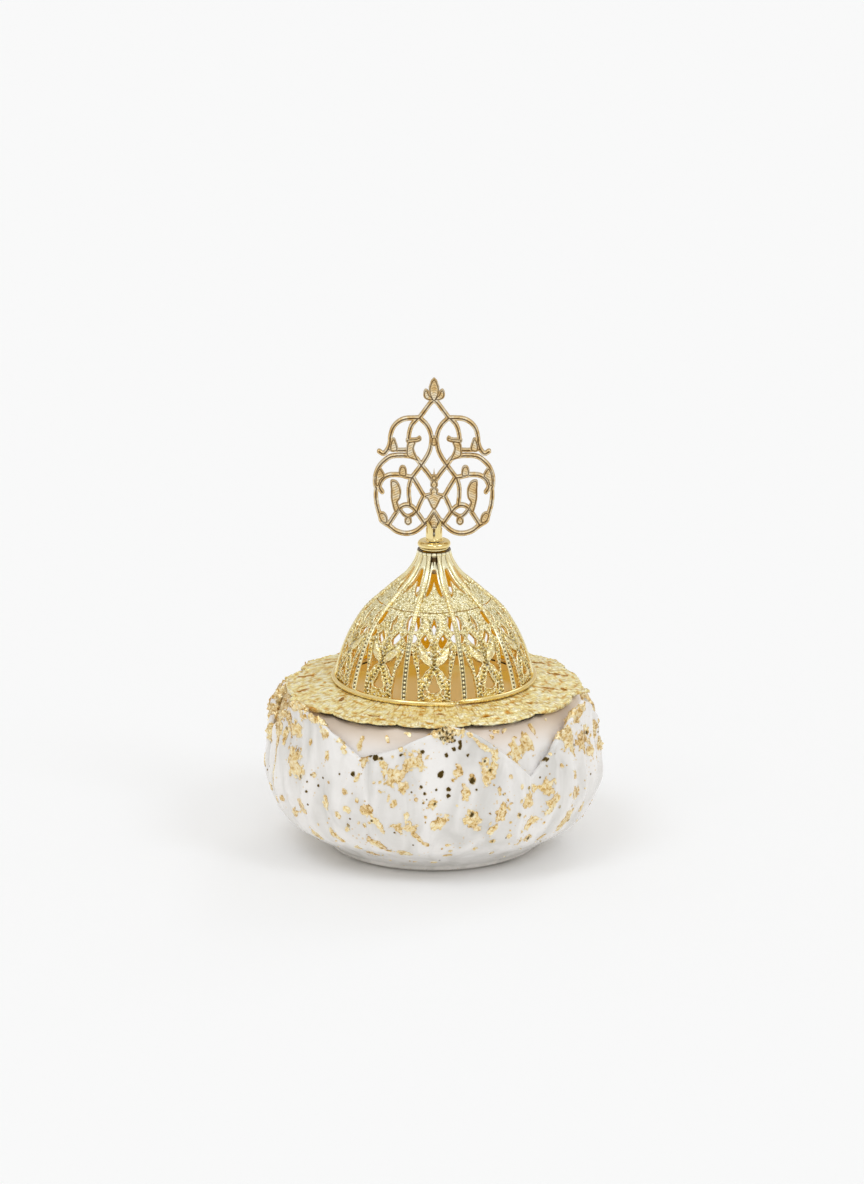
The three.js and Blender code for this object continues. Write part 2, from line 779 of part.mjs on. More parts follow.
const thinStrandShares = {
  shoulderBar: [[0.757, 0.562], [0.586, 0.555], [0.4, 0.558]],
  budCurl: [[0.01, 0.875], [0.1, 0.884], [0.15, 0.908], [0.125, 0.932]],
  pendantArch: [[0.58, 0.196], [0.5, 0.158], [0.43, 0.148], [0.36, 0.158], [0.29, 0.178]],
};
// Leaves and knots of the right half, as closed outlines
const leafShares = {
  shoulderLeaf: [[0.73, 0.55], [0.6, 0.553], [0.62, 0.6], [0.66, 0.63], [0.72, 0.61]],
  knotLeaf: [[0.46, 0.625], [0.3, 0.63], [0.24, 0.642], [0.205, 0.622], [0.26, 0.606], [0.44, 0.6]],
  knotStem: [[0.42, 0.61], [0.3, 0.61], [0.33, 0.564], [0.28, 0.515], [0.19, 0.47], [0.3, 0.492], [0.45, 0.518], [0.46, 0.575]],
  sideLeaf: [[0.97, 0.41], [0.9, 0.45], [0.81, 0.398], [0.878, 0.372], [0.915, 0.335], [0.98, 0.34]],
  volute: [[0.58, 0.4], [0.585, 0.435], [0.55, 0.458], [0.49, 0.458], [0.455, 0.435], [0.46, 0.395]],
  standingLeaf: [[0.72, 0.368], [0.62, 0.36], [0.56, 0.308], [0.575, 0.263], [0.62, 0.235], [0.58, 0.2], [0.65, 0.17], [0.705, 0.25], [0.7, 0.31]],
  footBud: [[0.93, 0.16], [0.85, 0.175], [0.78, 0.15], [0.77, 0.108], [0.87, 0.112]],
  pendantBud: [[0.43, 0.155], [0.375, 0.135], [0.37, 0.108], [0.43, 0.093], [0.49, 0.108], [0.485, 0.135]],
};
// Pieces on the middle line, as their right half from the top down
const centreShares = {
  budLeaf: [[0, 1], [0.045, 0.968], [0.08, 0.93], [0.07, 0.89], [0, 0.855]],
  almondTie: [[0, 0.64], [0.05, 0.635], [0.06, 0.585], [0, 0.58]],
  vase: [[0, 0.445], [0.02, 0.4], [0.07, 0.39], [0.06, 0.35], [0.1, 0.335], [0.06, 0.31], [0.165, 0.285], [0.15, 0.258], [0, 0.178]],
  diamond: [[0, 0.185], [0.1, 0.118], [0, 0.09]],
};

const finialPoint = ([across, up]) => new THREE.Vector2(across * finialHalfWidth, collarTop + up * finialHeight);

function finialSlab(outline) {
  const shape = new THREE.Shape(outline);
  const slab = new THREE.ExtrudeGeometry(shape, { depth: finialThickness, bevelEnabled: false });
  return solidOf(slab.rotateX(Math.PI / 2).translate(0, finialThickness / 2, 0));
}

// A strand of even width along a smooth centre line.
function strand(shares, width) {
  const line = new THREE.SplineCurve(shares.map(finialPoint));
  const steps = Math.round((shares.length - 1) * stepsPerSpan);
  const side = (sign) =>
    Array.from({ length: steps + 1 }, (_, step) => {
      const t = line.getTangent(step / steps);
      const p = line.getPoint(step / steps);
      return new THREE.Vector2(p.x - (sign * t.y * width) / 2, p.y + (sign * t.x * width) / 2);
    });
  return finialSlab([...side(1), ...side(-1).reverse()]);
}

function makeFinial() {
  const wide = Object.values(strandShares).map((shares) => strand(shares, strandWidth));
  const thin = Object.values(thinStrandShares).map((shares) => strand(shares, thinStrandWidth));
  const leaves = Object.values(leafShares).map((shares) => finialSlab(shares.map(finialPoint)));
  const right = [...wide, ...thin, ...leaves].reduce((all, one) => all.add(one));
  const left = right.mirror([1, 0, 0]);
  const middle = Object.values(centreShares).map((shares) => finialSlab(mirrored(shares).map(finialPoint)));
  // The tang stands on the floor of the socket's slot.
  const tangTopShare = 0.13;
  const tangTop = collarTop + tangTopShare * finialHeight;
  const tangBottom = socketBase + socketFloor + seatGap;
  const tang = finialSlab([
    new THREE.Vector2(-tangWidth / 2, tangBottom),
    new THREE.Vector2(tangWidth / 2, tangBottom),
    new THREE.Vector2(tangWidth / 2, tangTop),
    new THREE.Vector2(-tangWidth / 2, tangTop),
  ]);
  const result = [left, tang, ...middle].reduce((all, one) => all.add(one), right);
  addPiece("finial_plate", geometryOf(result), antiqueGold);
}

makeBowl();
makeCoalCup();
makePlate();
makeSleeve();
makeLowerShell();
makeUpperShell();
makeBaseRing();
for (let number = 1; number <= panelCount; number++) makeRib(number);
makeCollar();
makeSocket();
makeFasteners();
makeFinial();

export default burner;
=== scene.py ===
import math
from functools import partial

import bpy
import numpy as np
from bpy.props import FloatProperty, FloatVectorProperty, IntProperty, PointerProperty
from bpy.types import Operator, Panel, PropertyGroup
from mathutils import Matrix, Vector, noise


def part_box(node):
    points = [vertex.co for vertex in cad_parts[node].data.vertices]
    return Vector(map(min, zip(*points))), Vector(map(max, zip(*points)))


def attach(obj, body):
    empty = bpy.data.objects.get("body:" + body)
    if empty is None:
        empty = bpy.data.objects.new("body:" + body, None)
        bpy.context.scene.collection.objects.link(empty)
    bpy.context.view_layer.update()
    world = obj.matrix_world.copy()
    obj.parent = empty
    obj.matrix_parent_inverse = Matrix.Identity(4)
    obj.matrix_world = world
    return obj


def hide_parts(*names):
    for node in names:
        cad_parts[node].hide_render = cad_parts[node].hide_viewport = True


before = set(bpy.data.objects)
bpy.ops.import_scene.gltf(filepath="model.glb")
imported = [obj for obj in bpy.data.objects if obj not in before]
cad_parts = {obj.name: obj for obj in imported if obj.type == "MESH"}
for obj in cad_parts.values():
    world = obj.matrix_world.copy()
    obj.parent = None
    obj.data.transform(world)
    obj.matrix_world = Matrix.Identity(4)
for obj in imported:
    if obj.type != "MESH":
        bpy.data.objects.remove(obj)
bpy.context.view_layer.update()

bl_info = {
    "name": "Lotus Incense Burner",
    "version": (1, 0, 0),
    "blender": (4, 5, 0),
    "location": "View3D > Sidebar > Burner",
    "description": "Finishes a lotus-bowl incense burner with a gilded, pierced dome lid",
    "category": "Object",
}

# Lengths in the code are millimetres, and meshes are written in metres.
MM = 0.001
FULL_TURN = 360.0
HALF_TURN = 180.0


def box_mm(node):
    """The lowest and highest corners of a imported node, in millimetres."""
    return [np.array(corner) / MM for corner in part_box(node)]


CUP_LOW, CUP_HIGH = box_mm("coal_cup")
PLATE_LOW, PLATE_HIGH = box_mm("lid_plate")
LOWER_HIGH = box_mm("dome_lower_shell")[1]
UPPER_HIGH = box_mm("dome_upper_shell")[1]
RING_LOW, RING_HIGH = box_mm("base_ring")
COLLAR_LOW, COLLAR_HIGH = box_mm("collar")
SOCKET_LOW, SOCKET_HIGH = box_mm("finial_socket")
FINIAL_LOW, FINIAL_HIGH = box_mm("finial_plate")
PLATE_THICKNESS = 1.3
# Radius of the hole that the stud goes through in the collar and the socket
STUD_HOLE = 2.2


# Colours and nodes


def linear(hex_colour):
    """An sRGB hex colour as linear red, green, blue and an alpha of one."""
    parts = [int(hex_colour[i : i + 2], 16) / 255 for i in (1, 3, 5)]
    turned = [c / 12.92 if c <= 0.04045 else ((c + 0.055) / 1.055) ** 2.4 for c in parts]
    return (*turned, 1.0)


def add(tree, kind, inputs=None, output=0, stops=(), **settings):
    """Adds a node with its settings and inputs, and returns one of its outputs.

    An input is a link, a value or a hex colour. A ramp's stops are places, each with a hex colour, a colour
    or a grey.
    """
    node = tree.nodes.new("ShaderNode" + kind)
    for key, value in settings.items():
        setattr(node, key, value)
    for key, value in (inputs or {}).items():
        if isinstance(value, bpy.types.NodeSocket):
            tree.links.new(value, node.inputs[key])
        else:
            node.inputs[key].default_value = linear(value) if isinstance(value, str) else value
    if stops:
        elements = node.color_ramp.elements
        while len(elements) < len(stops):
            elements.new(0.5)
        for element, (place, colour) in zip(elements, stops):
            element.position = place
            colour = linear(colour) if isinstance(colour, str) else colour
            element.color = (colour, colour, colour, 1.0) if isinstance(colour, (int, float)) else colour
    return node.outputs[output] if node.outputs else node


def start_material(name, *attributes):
    """An empty material, a function that adds its nodes, the piece's coordinates in metres, and attributes.

    An attribute is a number that the piece's mesh holds at each point.
    """
    material = bpy.data.materials.new(name)
    material.use_nodes = True
    material.node_tree.nodes.clear()
    node = partial(add, material.node_tree)
    numbers = [node("Attribute", output="Fac", attribute_name=attribute) for attribute in attributes]
    return material, node, node("TexCoord", output="Object"), *numbers


def end_material(material, node, height, strength, depth, base, layers=(), **surface):
    """Ends a material with its relief, its base colour and others laid over it by masks, and its surface.

    The relief's depth is in millimetres.
    """
    for mask, colour in layers:
        base = node("Mix", {0: mask, 6: base, 7: colour}, 2, data_type="RGBA")
    relief = node("Bump", {"Height": height, "Strength": strength, "Distance": depth * MM})
    inputs = {key.replace("_", " "): value for key, value in surface.items()}
    shader = node("BsdfPrincipled", {"Base Color": base, "Normal": relief, **inputs})
    node("OutputMaterial", {0: shader})
    return material


def per_metre(millimetres):
    """A pattern's scale, whose features are about this many millimetres."""
    return 1.0 / (millimetres * MM)


# Curves and distance fields, all in millimetres on a flat sheet


def smooth_line(points, closed=False, per_span=6):
    """A Catmull-Rom line through the points."""
    p = np.array(points, float)
    before, behind = (p[-1:], p[:2]) if closed else (2 * p[:1] - p[1:2], 2 * p[-1:] - p[-2:-1])
    p = np.concatenate([before, p, behind])
    t = (np.arange(per_span) / per_span)[:, None]
    spans = [
        0.5 * (2 * b + (c - a) * t + (2 * a - 5 * b + 4 * c - d) * t * t + (3 * b - a - 3 * c + d) * t**3)
        for a, b, c, d in zip(p, p[1:], p[2:], p[3:])
    ]
    return np.concatenate(spans if closed else [*spans, p[-2:-1]])


def line_distance(x, y, line, closed=False):
    """Each grid point's distance to a line."""
    best = np.full(x.shape, np.inf)
    ends = np.roll(line, -1, axis=0) if closed else line[1:]
    for (ax, ay), (bx, by) in zip(line, ends):
        dx, dy = bx - ax, by - ay
        t = np.clip(((x - ax) * dx + (y - ay) * dy) / (dx * dx + dy * dy + 1e-12), 0, 1)
        best = np.minimum(best, (x - ax - t * dx) ** 2 + (y - ay - t * dy) ** 2)
    return np.sqrt(best)


def area_field(x, y, outline):
    """Signed distance to a closed outline, below zero inside it."""
    inside = np.zeros(x.shape, bool)
    for (ax, ay), (bx, by) in zip(outline, np.roll(outline, -1, axis=0)):
        reach = (bx - ax) * (y - ay) / ((by - ay) if by != ay else 1e-12) + ax
        inside ^= ((ay > y) != (by > y)) & (x < reach)
    distance = line_distance(x, y, outline, closed=True)
    return np.where(inside, -distance, distance)


def bead_field(x, y, line, pitch, radius):
    """Height of a row of round beads along a line."""
    along = np.concatenate([[0], np.cumsum(np.hypot(*np.diff(line, axis=0).T))])
    places = np.linspace(0, along[-1], max(2, int(round(along[-1] / pitch))))
    best = np.full(x.shape, np.inf)
    for cx, cy in zip(*(np.interp(places, along, line[:, k]) for k in (0, 1))):
        best = np.minimum(best, (x - cx) ** 2 + (y - cy) ** 2)
    return np.sqrt(np.maximum(radius * radius - best, 0))


def ease(value, low, high):
    """Rises smoothly from zero at low to one at high."""
    t = np.clip((value - low) / (high - low), 0, 1)
    return t * t * (3 - 2 * t)


def bump(value, width):
    """One at zero, falling smoothly to zero at a width."""
    return ease(1 - np.abs(value) / width, 0, 1)


def turned_away(degrees, middle=0.0):
    """The turn from a middle to each angle, from -180 to 180 degrees."""
    return (degrees - middle + HALF_TURN) % FULL_TURN - HALF_TURN


def noise_grid(points, size, octaves=3, seed=0.0):
    """Fractal noise of about -1 to 1 at points in millimetres, whose features are size millimetres."""
    offset = Vector((seed, 2 * seed, 3 * seed))
    values = [noise.fractal(Vector(p) + offset, 1.0, 2.0, octaves) for p in points.reshape(-1, 3) / size]
    return np.array(values).reshape(points.shape[:-1])


def around(radius, degrees, height):
    """Points at a radius, an angle in degrees to the right of the front, and a height."""
    a = np.radians(degrees)
    return np.stack(np.broadcast_arrays(radius * np.sin(a), -radius * np.cos(a), height), axis=-1)


def leaning(x, y, degrees):
    """Places across and along something whose top leans to the right by an angle."""
    a = math.radians(degrees)
    return x * math.cos(a) - y * math.sin(a), x * math.sin(a) + y * math.cos(a)


def with_mirror(half):
    """An outline from its right half, whose first and last points lie on the middle line."""
    half = np.array(half, float)
    return np.concatenate([half, half[::-1][1:-1] * np.array([-1, 1])])


def arc(x, y, radius, start, end, steps):
    """Points of an arc round a centre, from one angle to another in degrees."""
    turns = np.radians(np.linspace(start, end, steps + 1))
    return [(x + radius * math.cos(t), y + radius * math.sin(t)) for t in turns]


# Meshes


def new_object(name, vertices, faces, edges=(), tones=None):
    """A mesh object from points in millimetres, with an optional number per point for its material."""
    mesh = bpy.data.meshes.new(name)
    mesh.from_pydata((np.asarray(vertices) * MM).tolist(), edges, faces)
    mesh.validate()
    for attribute, values in (tones or {}).items():
        layer = mesh.attributes.new(attribute, "FLOAT", "POINT")
        layer.data.foreach_set("value", np.asarray(values, np.float32))
    thing = bpy.data.objects.new(name, mesh)
    bpy.context.scene.collection.objects.link(thing)
    return thing


def quads(ids):
    """Faces between the rows of a grid of point numbers, whose columns go round to the first again."""
    after = np.roll(ids, -1, axis=0)
    return np.stack([ids[:, :-1], after[:, :-1], after[:, 1:], ids[:, 1:]], axis=-1).reshape(-1, 4).tolist()


def only(thing):
    """Selects one object and makes it active."""
    bpy.ops.object.select_all(action="DESELECT")
    thing.select_set(True)
    bpy.context.view_layer.objects.active = thing


def edit_all(thing, *steps):
    """Runs steps in edit mode on an object, each on all of its mesh."""
    only(thing)
    bpy.ops.object.mode_set(mode="EDIT")
    for step in steps:
        bpy.ops.mesh.select_all(action="SELECT")
        step()
    bpy.ops.object.mode_set(mode="OBJECT")


face_outwards = partial(bpy.ops.mesh.normals_make_consistent, inside=False)


def finish(thing, body, material, replaced=None, angle=50.0):
    """Turns faces outwards, smooths up to an angle, gives the piece its material and body, and hides the
    imported part that it replaces.
    """
    edit_all(thing, face_outwards)
    bpy.ops.object.shade_smooth_by_angle(angle=math.radians(angle))
    bpy.ops.object.transform_apply(location=True, rotation=True, scale=True)
    thing.data.materials.clear()
    thing.data.materials.append(finish_of(material))
    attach(thing, body)
    if replaced:
        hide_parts(replaced)
    thing.select_set(False)


def pierced_sheet(name, us, vs, field, face, back, place, period=None, **tones):
    """The part of a (u, v) grid where field is below zero, as a closed sheet between two offsets.

    place(u, v, out) gives points in millimetres. Give period where u comes round to its start. Each of the
    tones is written on the mesh for its material, with rear, which is zero in front and one at the back.
    """

    def wrapped(layer, shift=0.0):
        return np.concatenate([layer, layer[:1] + shift]) if period else layer

    columns = len(us)
    solid = field < 0
    grid_u, grid_v = np.meshgrid(us, vs, indexing="ij")
    layers = {"field": field, "v": grid_v, "face": face, "back": back, **tones}
    layers = {"u": wrapped(grid_u, period), **{key: wrapped(layer) for key, layer in layers.items()}}
    found = {key: [layer[:columns][solid]] for key, layer in layers.items()}
    total = int(solid.sum())

    def crossings(first, second):
        """Numbers of new points where the solid's edge crosses between the grid points of two slices."""
        nonlocal total
        start, end = layers["field"][first], layers["field"][second]
        cut = (start < 0) != (end < 0)
        ids = np.full(cut.shape, -1)
        ids[cut] = total + np.arange(cut.sum())
        total += int(cut.sum())
        t = np.clip(start[cut] / (start[cut] - end[cut]), 0.02, 0.98)
        for key, layer in layers.items():
            a, b = layer[first][cut], layer[second][cut]
            found[key].append(a + t * (b - a))
        return ids

    across = crossings(np.s_[:-1], np.s_[1:])
    upward = crossings(np.s_[:columns, :-1], np.s_[:columns, 1:])
    values = {key: np.concatenate(parts) for key, parts in found.items()}
    front, rear = (place(values["u"], values["v"], values[side]) for side in ("face", "back"))

    ids = wrapped(np.where(solid, np.cumsum(solid).reshape(solid.shape) - 1, -1), 0)
    corners = np.stack([ids[:-1, :-1], ids[1:, :-1], ids[1:, 1:], ids[:-1, 1:]], axis=-1)
    whole = (corners >= 0).all(axis=-1)
    faces = corners[whole].tolist()
    walls = []
    for i, j in np.argwhere((corners >= 0).any(axis=-1) & ~whole):
        sides = (across[i, j], upward[(i + 1) % columns, j], across[i, j + 1], upward[i, j])
        outline, cuts = [], []
        for corner, side in zip(corners[i, j], sides):
            if corner >= 0:
                outline.append(int(corner))
            if side >= 0:
                if corner >= 0:
                    cuts.append(len(outline))
                outline.append(int(side))
        faces.append(outline)
        walls += [(outline[start], outline[(start + 1) % len(outline)]) for start in cuts]
    faces += [[index + total for index in reversed(face)] for face in faces]
    faces += [[q, p, p + total, q + total] for p, q in walls]
    doubled = {key: np.tile(values[key], 2) for key in tones}
    doubled["rear"] = np.repeat([0.0, 1.0], total)
    return new_object(name, np.concatenate([front, rear]), faces, tones=doubled)


def modify(thing, kind, **settings):
    """Applies a modifier to an object."""
    only(thing)
    modifier = thing.modifiers.new("change", kind)
    for key, value in settings.items():
        setattr(modifier, key, value)
    bpy.ops.object.modifier_apply(modifier=modifier.name)


def turned_by_spin(name, profile, steps=96):
    """A profile of radius and height, closed or ending on the axis, spun round Z in edit mode."""
    edges = [(i, i + 1) for i in range(len(profile) - 1)]
    thing = new_object(name, [(radius, 0.0, height) for radius, height in profile], [], edges)
    edit_all(
        thing,
        partial(bpy.ops.mesh.spin, steps=steps, angle=2 * math.pi, center=(0, 0, 0), axis=(0, 0, 1)),
        partial(bpy.ops.mesh.remove_doubles, threshold=0.01 * MM),
    )
    return thing


# Settings


def length_setting(name, description, metres):
    """A length that the user sets."""
    return FloatProperty(name=name, description=description, default=metres, unit="LENGTH")


def colour_setting(name, description, hex_colour):
    """A colour that the user sets."""
    default = linear(hex_colour)
    return FloatVectorProperty(name=name, description=description, subtype="COLOR", size=4, default=default)


class BurnerBowlSettings(PropertyGroup):
    """Sizes and colours of the lotus bowl."""

    tip_height: length_setting("Petal height", "Height of the front petal's tip", 66 * MM)
    belly_radius: length_setting("Belly radius", "Largest radius of the petals", 65.3 * MM)
    fold_depth: FloatProperty(
        name="Fold depth", description="Share of the petals' full fold depth", default=1.0, subtype="FACTOR"
    )
    glaze: colour_setting("Glaze", "White of the glaze", "#F4F2F0")
    vein: colour_setting("Vein", "Soft grey clouding in the glaze", "#DAD8D4")
    leaf: colour_setting("Gold leaf", "Colour of the gold leaf", "#F8E0A4")


class BurnerLidSettings(PropertyGroup):
    """Sizes and colours of the gilded lid."""

    panels: IntProperty(name="Panels", description="Number of pierced panels in the dome", default=10)
    lobes: IntProperty(name="Lobes", description="Number of lobes of the plate", default=12)
    gold: colour_setting("Gold", "Colour of the bright gilding", "#FCEEAC")
    # Painted shade between the grains
    deep_gold: colour_setting("Deep gold", "Colour between the grains", "#C08A1C")
    polished: colour_setting("Polished gold", "Colour of the wire ring and collar", "#FFF2C2")


class BurnerFinialSettings(PropertyGroup):
    """Sizes and colours of the openwork finial."""

    strand_width: length_setting("Strand width", "Width of the finial's strands", 1.75 * MM)
    antique: colour_setting("Antique gold", "Colour of the strands", "#F8DCA6")
    engraving: colour_setting("Engraving", "Colour of the dark engraved lines", "#5A3A12")


class BurnerStageSettings(PropertyGroup):
    """The floor, the lamps and the camera."""

    elevation: FloatProperty(
        name="Elevation", description="Camera angle above level", default=math.radians(16.3),
        subtype="ANGLE",
    )
    distance: length_setting("Distance", "Camera distance", 5.0)
    frame_width: length_setting("View width", "Width that the view takes in at the burner", 0.3348)
    floor: colour_setting("Floor", "Colour of the floor", "#FCFCFC")


# Materials


def glazed_earthenware():
    """White-glazed earthenware: glassy, with soft grey clouding, fine gold dust and a few burnt specks."""
    settings = bpy.context.scene.burner_bowl
    material, node, coords, inside, foot = start_material("glazed_earthenware", "inside", "bare_foot_shade")
    # The clouding runs down the petals, so its coordinates are squeezed along the height.
    drawn_out = node("Mapping", {"Vector": coords, "Scale": (1.0, 1.0, 0.3)})
    cloud = node("TexNoise", {"Vector": drawn_out, "Scale": per_metre(11), "Detail": 3.0, "Distortion": 0.8})
    clouding = node("ValToRGB", {0: cloud}, stops=[(0.4, 0), (0.68, 1)])
    # Gold dust floats in the glaze in drifts.
    drift = node("TexNoise", {"Vector": coords, "Scale": per_metre(14), "Detail": 2.0})
    dust = node("TexVoronoi", {"Vector": coords, "Scale": per_metre(2.1)})
    dusted = node("ValToRGB", {0: node("Math", {0: dust, 1: drift})}, stops=[(0.52, 1), (0.6, 0)])
    dusted = node("Math", {0: dusted, 1: 0.6}, operation="MULTIPLY")
    # Burnt specks, some 1 mm across, lie far apart.
    specks = node("TexVoronoi", {"Vector": coords, "Scale": per_metre(7.5), "Randomness": 1.0})
    speckled = node("ValToRGB", {0: specks}, stops=[(0.05, 1), (0.075, 0)])
    # Painted shade and reflection: the inner wall is painted darker and warmer towards the plate, as shade
    # under it. Inside the mouth it turns yellow, with yellower patches, as a painted warm reflection of the
    # gilded lid.
    inner_shade = node(
        "ValToRGB", {0: inside},
        stops=[
            (0.0, "#F6F4F2"), (0.14, "#F3EFEC"), (0.3, "#ECE1D6"), (0.46, "#DBC7B0"), (0.7, "#EBDDB2"),
            (1.0, "#E4CF78"),
        ],
    )
    reflection_patches = node("TexNoise", {"Vector": coords, "Scale": per_metre(13), "Detail": 2.0})
    gold_reflection = node("ValToRGB", {0: reflection_patches}, stops=[(0.42, 0), (0.56, 0.75)])
    at_mouth = node("ValToRGB", {0: inside}, stops=[(0.66, 0), (0.8, 1)])
    gold_reflection = node("Math", {0: gold_reflection, 1: at_mouth}, operation="MULTIPLY")
    inner_shade = node("Mix", {0: gold_reflection, 6: inner_shade, 7: "#E2BC38"}, 2, data_type="RGBA")
    within = node("Math", {0: inside, 1: 9.0}, operation="MULTIPLY")
    within = node("Math", {0: within, 1: 1.0}, operation="MINIMUM")
    # Painted glow: an emission in the inner colour stands in for the light that the pierced lid scatters
    # inside the bowl
    lit = node("ValToRGB", {0: inside}, stops=[(0.6, 0), (0.7, 1)])
    painted_glow = node("Mix", {0: lit, 6: "#000000", 7: inner_shade}, 2, data_type="RGBA")
    # The foot's underside is darker, partly as its unglazed body and partly as painted shade under the bowl.
    layers = (
        (clouding, settings.vein), (dusted, "#E3C48C"), (speckled, "#6A5426"), (within, inner_shade),
        (foot, "#8F8474"),
    )
    ripple = node("TexNoise", {"Vector": coords, "Scale": per_metre(5), "Detail": 2.0})
    return end_material(
        material, node, ripple, 0.12, 0.6, settings.glaze, layers,
        Roughness=node("ValToRGB", {0: foot}, stops=[(0.0, 0.2), (1.0, 0.8)]), IOR=1.5,
        Emission_Color=painted_glow, Emission_Strength=0.25,
    )


def gold_leaf():
    """Loose gold leaf fired into the glaze: crumpled, with painted highlights on its crests and painted shade
    in its hollows, and brown where it burnt.
    """
    settings = bpy.context.scene.burner_bowl
    material, node, coords, aged, burnt = start_material("fired_gold_leaf", "aged", "burnt")
    crumple = node(
        "TexNoise",
        {"Vector": coords, "Scale": per_metre(1.4), "Detail": 4.0, "Roughness": 0.65, "Distortion": 0.6},
    )
    # Both ramps follow the crumpling that also makes the relief: the pale crests are painted highlights and
    # the brown hollows painted shade.
    crest_light_stops = [(0.34, "#CB9A4C"), (0.47, settings.leaf), (0.6, "#FFF6D6")]
    bright = node("ValToRGB", {0: crumple}, stops=crest_light_stops)
    aged_crest_shading = node("ValToRGB", {0: crumple}, stops=[(0.34, "#9C7438"), (0.48, "#DDB878"), (0.62, "#FBEAC4")])
    layers = ((aged, aged_crest_shading), (burnt, "#4D3C14"))
    return end_material(material, node, crumple, 0.55, 0.5, bright, layers, Metallic=0.85, Roughness=0.34)


def grain_tones(node, coords, size, gold, shift=None):
    """A colour for each grain of a given size in millimetres, from deep gold to nearly white."""
    cells = node("TexVoronoi", {"Vector": coords, "Scale": per_metre(size), "Randomness": 0.85}, "Color")
    tone = node("SeparateColor", {0: cells})
    if shift is not None:
        shifted = node("Math", {0: shift, 1: 1.0, 2: -0.22}, operation="MULTIPLY_ADD")
        tone = node("Math", {0: tone, 1: 0.5, 2: shifted}, operation="MULTIPLY_ADD")
    stops = [(0.0, "#DCAE2C"), (0.28, "#F3DA74"), (0.6, gold), (1.0, "#FFFDE4")]
    return node("ValToRGB", {0: tone}, stops=stops)


def granulated_gilding():
    """Cast brass with granulation, gilded: tiny grains catch the light, with painted shade between them and
    in the hollows, and a painted glow inside.
    """
    settings = bpy.context.scene.burner_lid
    material, node, coords, plain, worn, deep, rear = start_material(
        "granulated_gilding", "plain", "worn", "deep", "rear"
    )
    # Real grains are about 0.5 mm: these are drawn larger, so that they show from a step away.
    grain = 0.85
    grains = node(
        "TexVoronoi", {"Vector": coords, "Scale": per_metre(grain), "Smoothness": 0.35, "Randomness": 0.85},
        feature="SMOOTH_F1",
    )
    drift = node("TexNoise", {"Vector": coords, "Scale": per_metre(3.2), "Detail": 3.0})
    grained = node("Math", {0: 1.0, 1: plain}, operation="SUBTRACT")
    smooth = node("Mix", {0: drift, 6: settings.gold, 7: "#FFF8DA"}, 2, data_type="RGBA")
    # Towards the seam and above it the gilding is paler and less metallic, a satin.
    paler = node("Math", {0: worn, 1: 0.65}, operation="MULTIPLY")
    # Painted shade: the gold between the grains is darker.
    between = node("ValToRGB", {0: grains}, stops=[(0.0, 0), (0.48, 0.05), (0.76, 0.85)])
    between = node("Math", {0: between, 1: grained}, operation="MULTIPLY")
    gap_shade_colour = node("Mix", {0: worn, 6: settings.deep_gold, 7: "#B8A048"}, 2, data_type="RGBA")
    # Painted shade darkens the hollows, and the inside is painted deep yellow and glows a little: painted
    # warm light that the gold throws back and forth inside the dome.
    inner_glow = node("ValToRGB", {0: rear}, stops=[(0.8, 0), (0.98, 1)])
    layers = (
        (grained, grain_tones(node, coords, grain, settings.gold)), (paler, "#FFFBDA"), (between, gap_shade_colour),
        (deep, "#49350F"), (inner_glow, "#EAC238"),
    )
    sunk = node("Math", {0: grained, 1: -1.0}, operation="MULTIPLY")
    height = node("Math", {0: grains, 1: sunk}, operation="MULTIPLY")
    metallic = node("Math", {0: worn, 1: -0.3, 2: 0.95}, operation="MULTIPLY_ADD")
    return end_material(
        material, node, height, 0.85, 0.5, smooth, layers,
        Metallic=node("Math", {0: inner_glow, 1: -0.55, 2: metallic}, operation="MULTIPLY_ADD"),
        Roughness=node("Math", {0: inner_glow, 1: 0.3, 2: 0.22}, operation="MULTIPLY_ADD"),
        Emission_Color=node("Mix", {0: inner_glow, 6: "#000000", 7: "#DCA412"}, 2, data_type="RGBA"),
        Emission_Strength=0.25,
    )


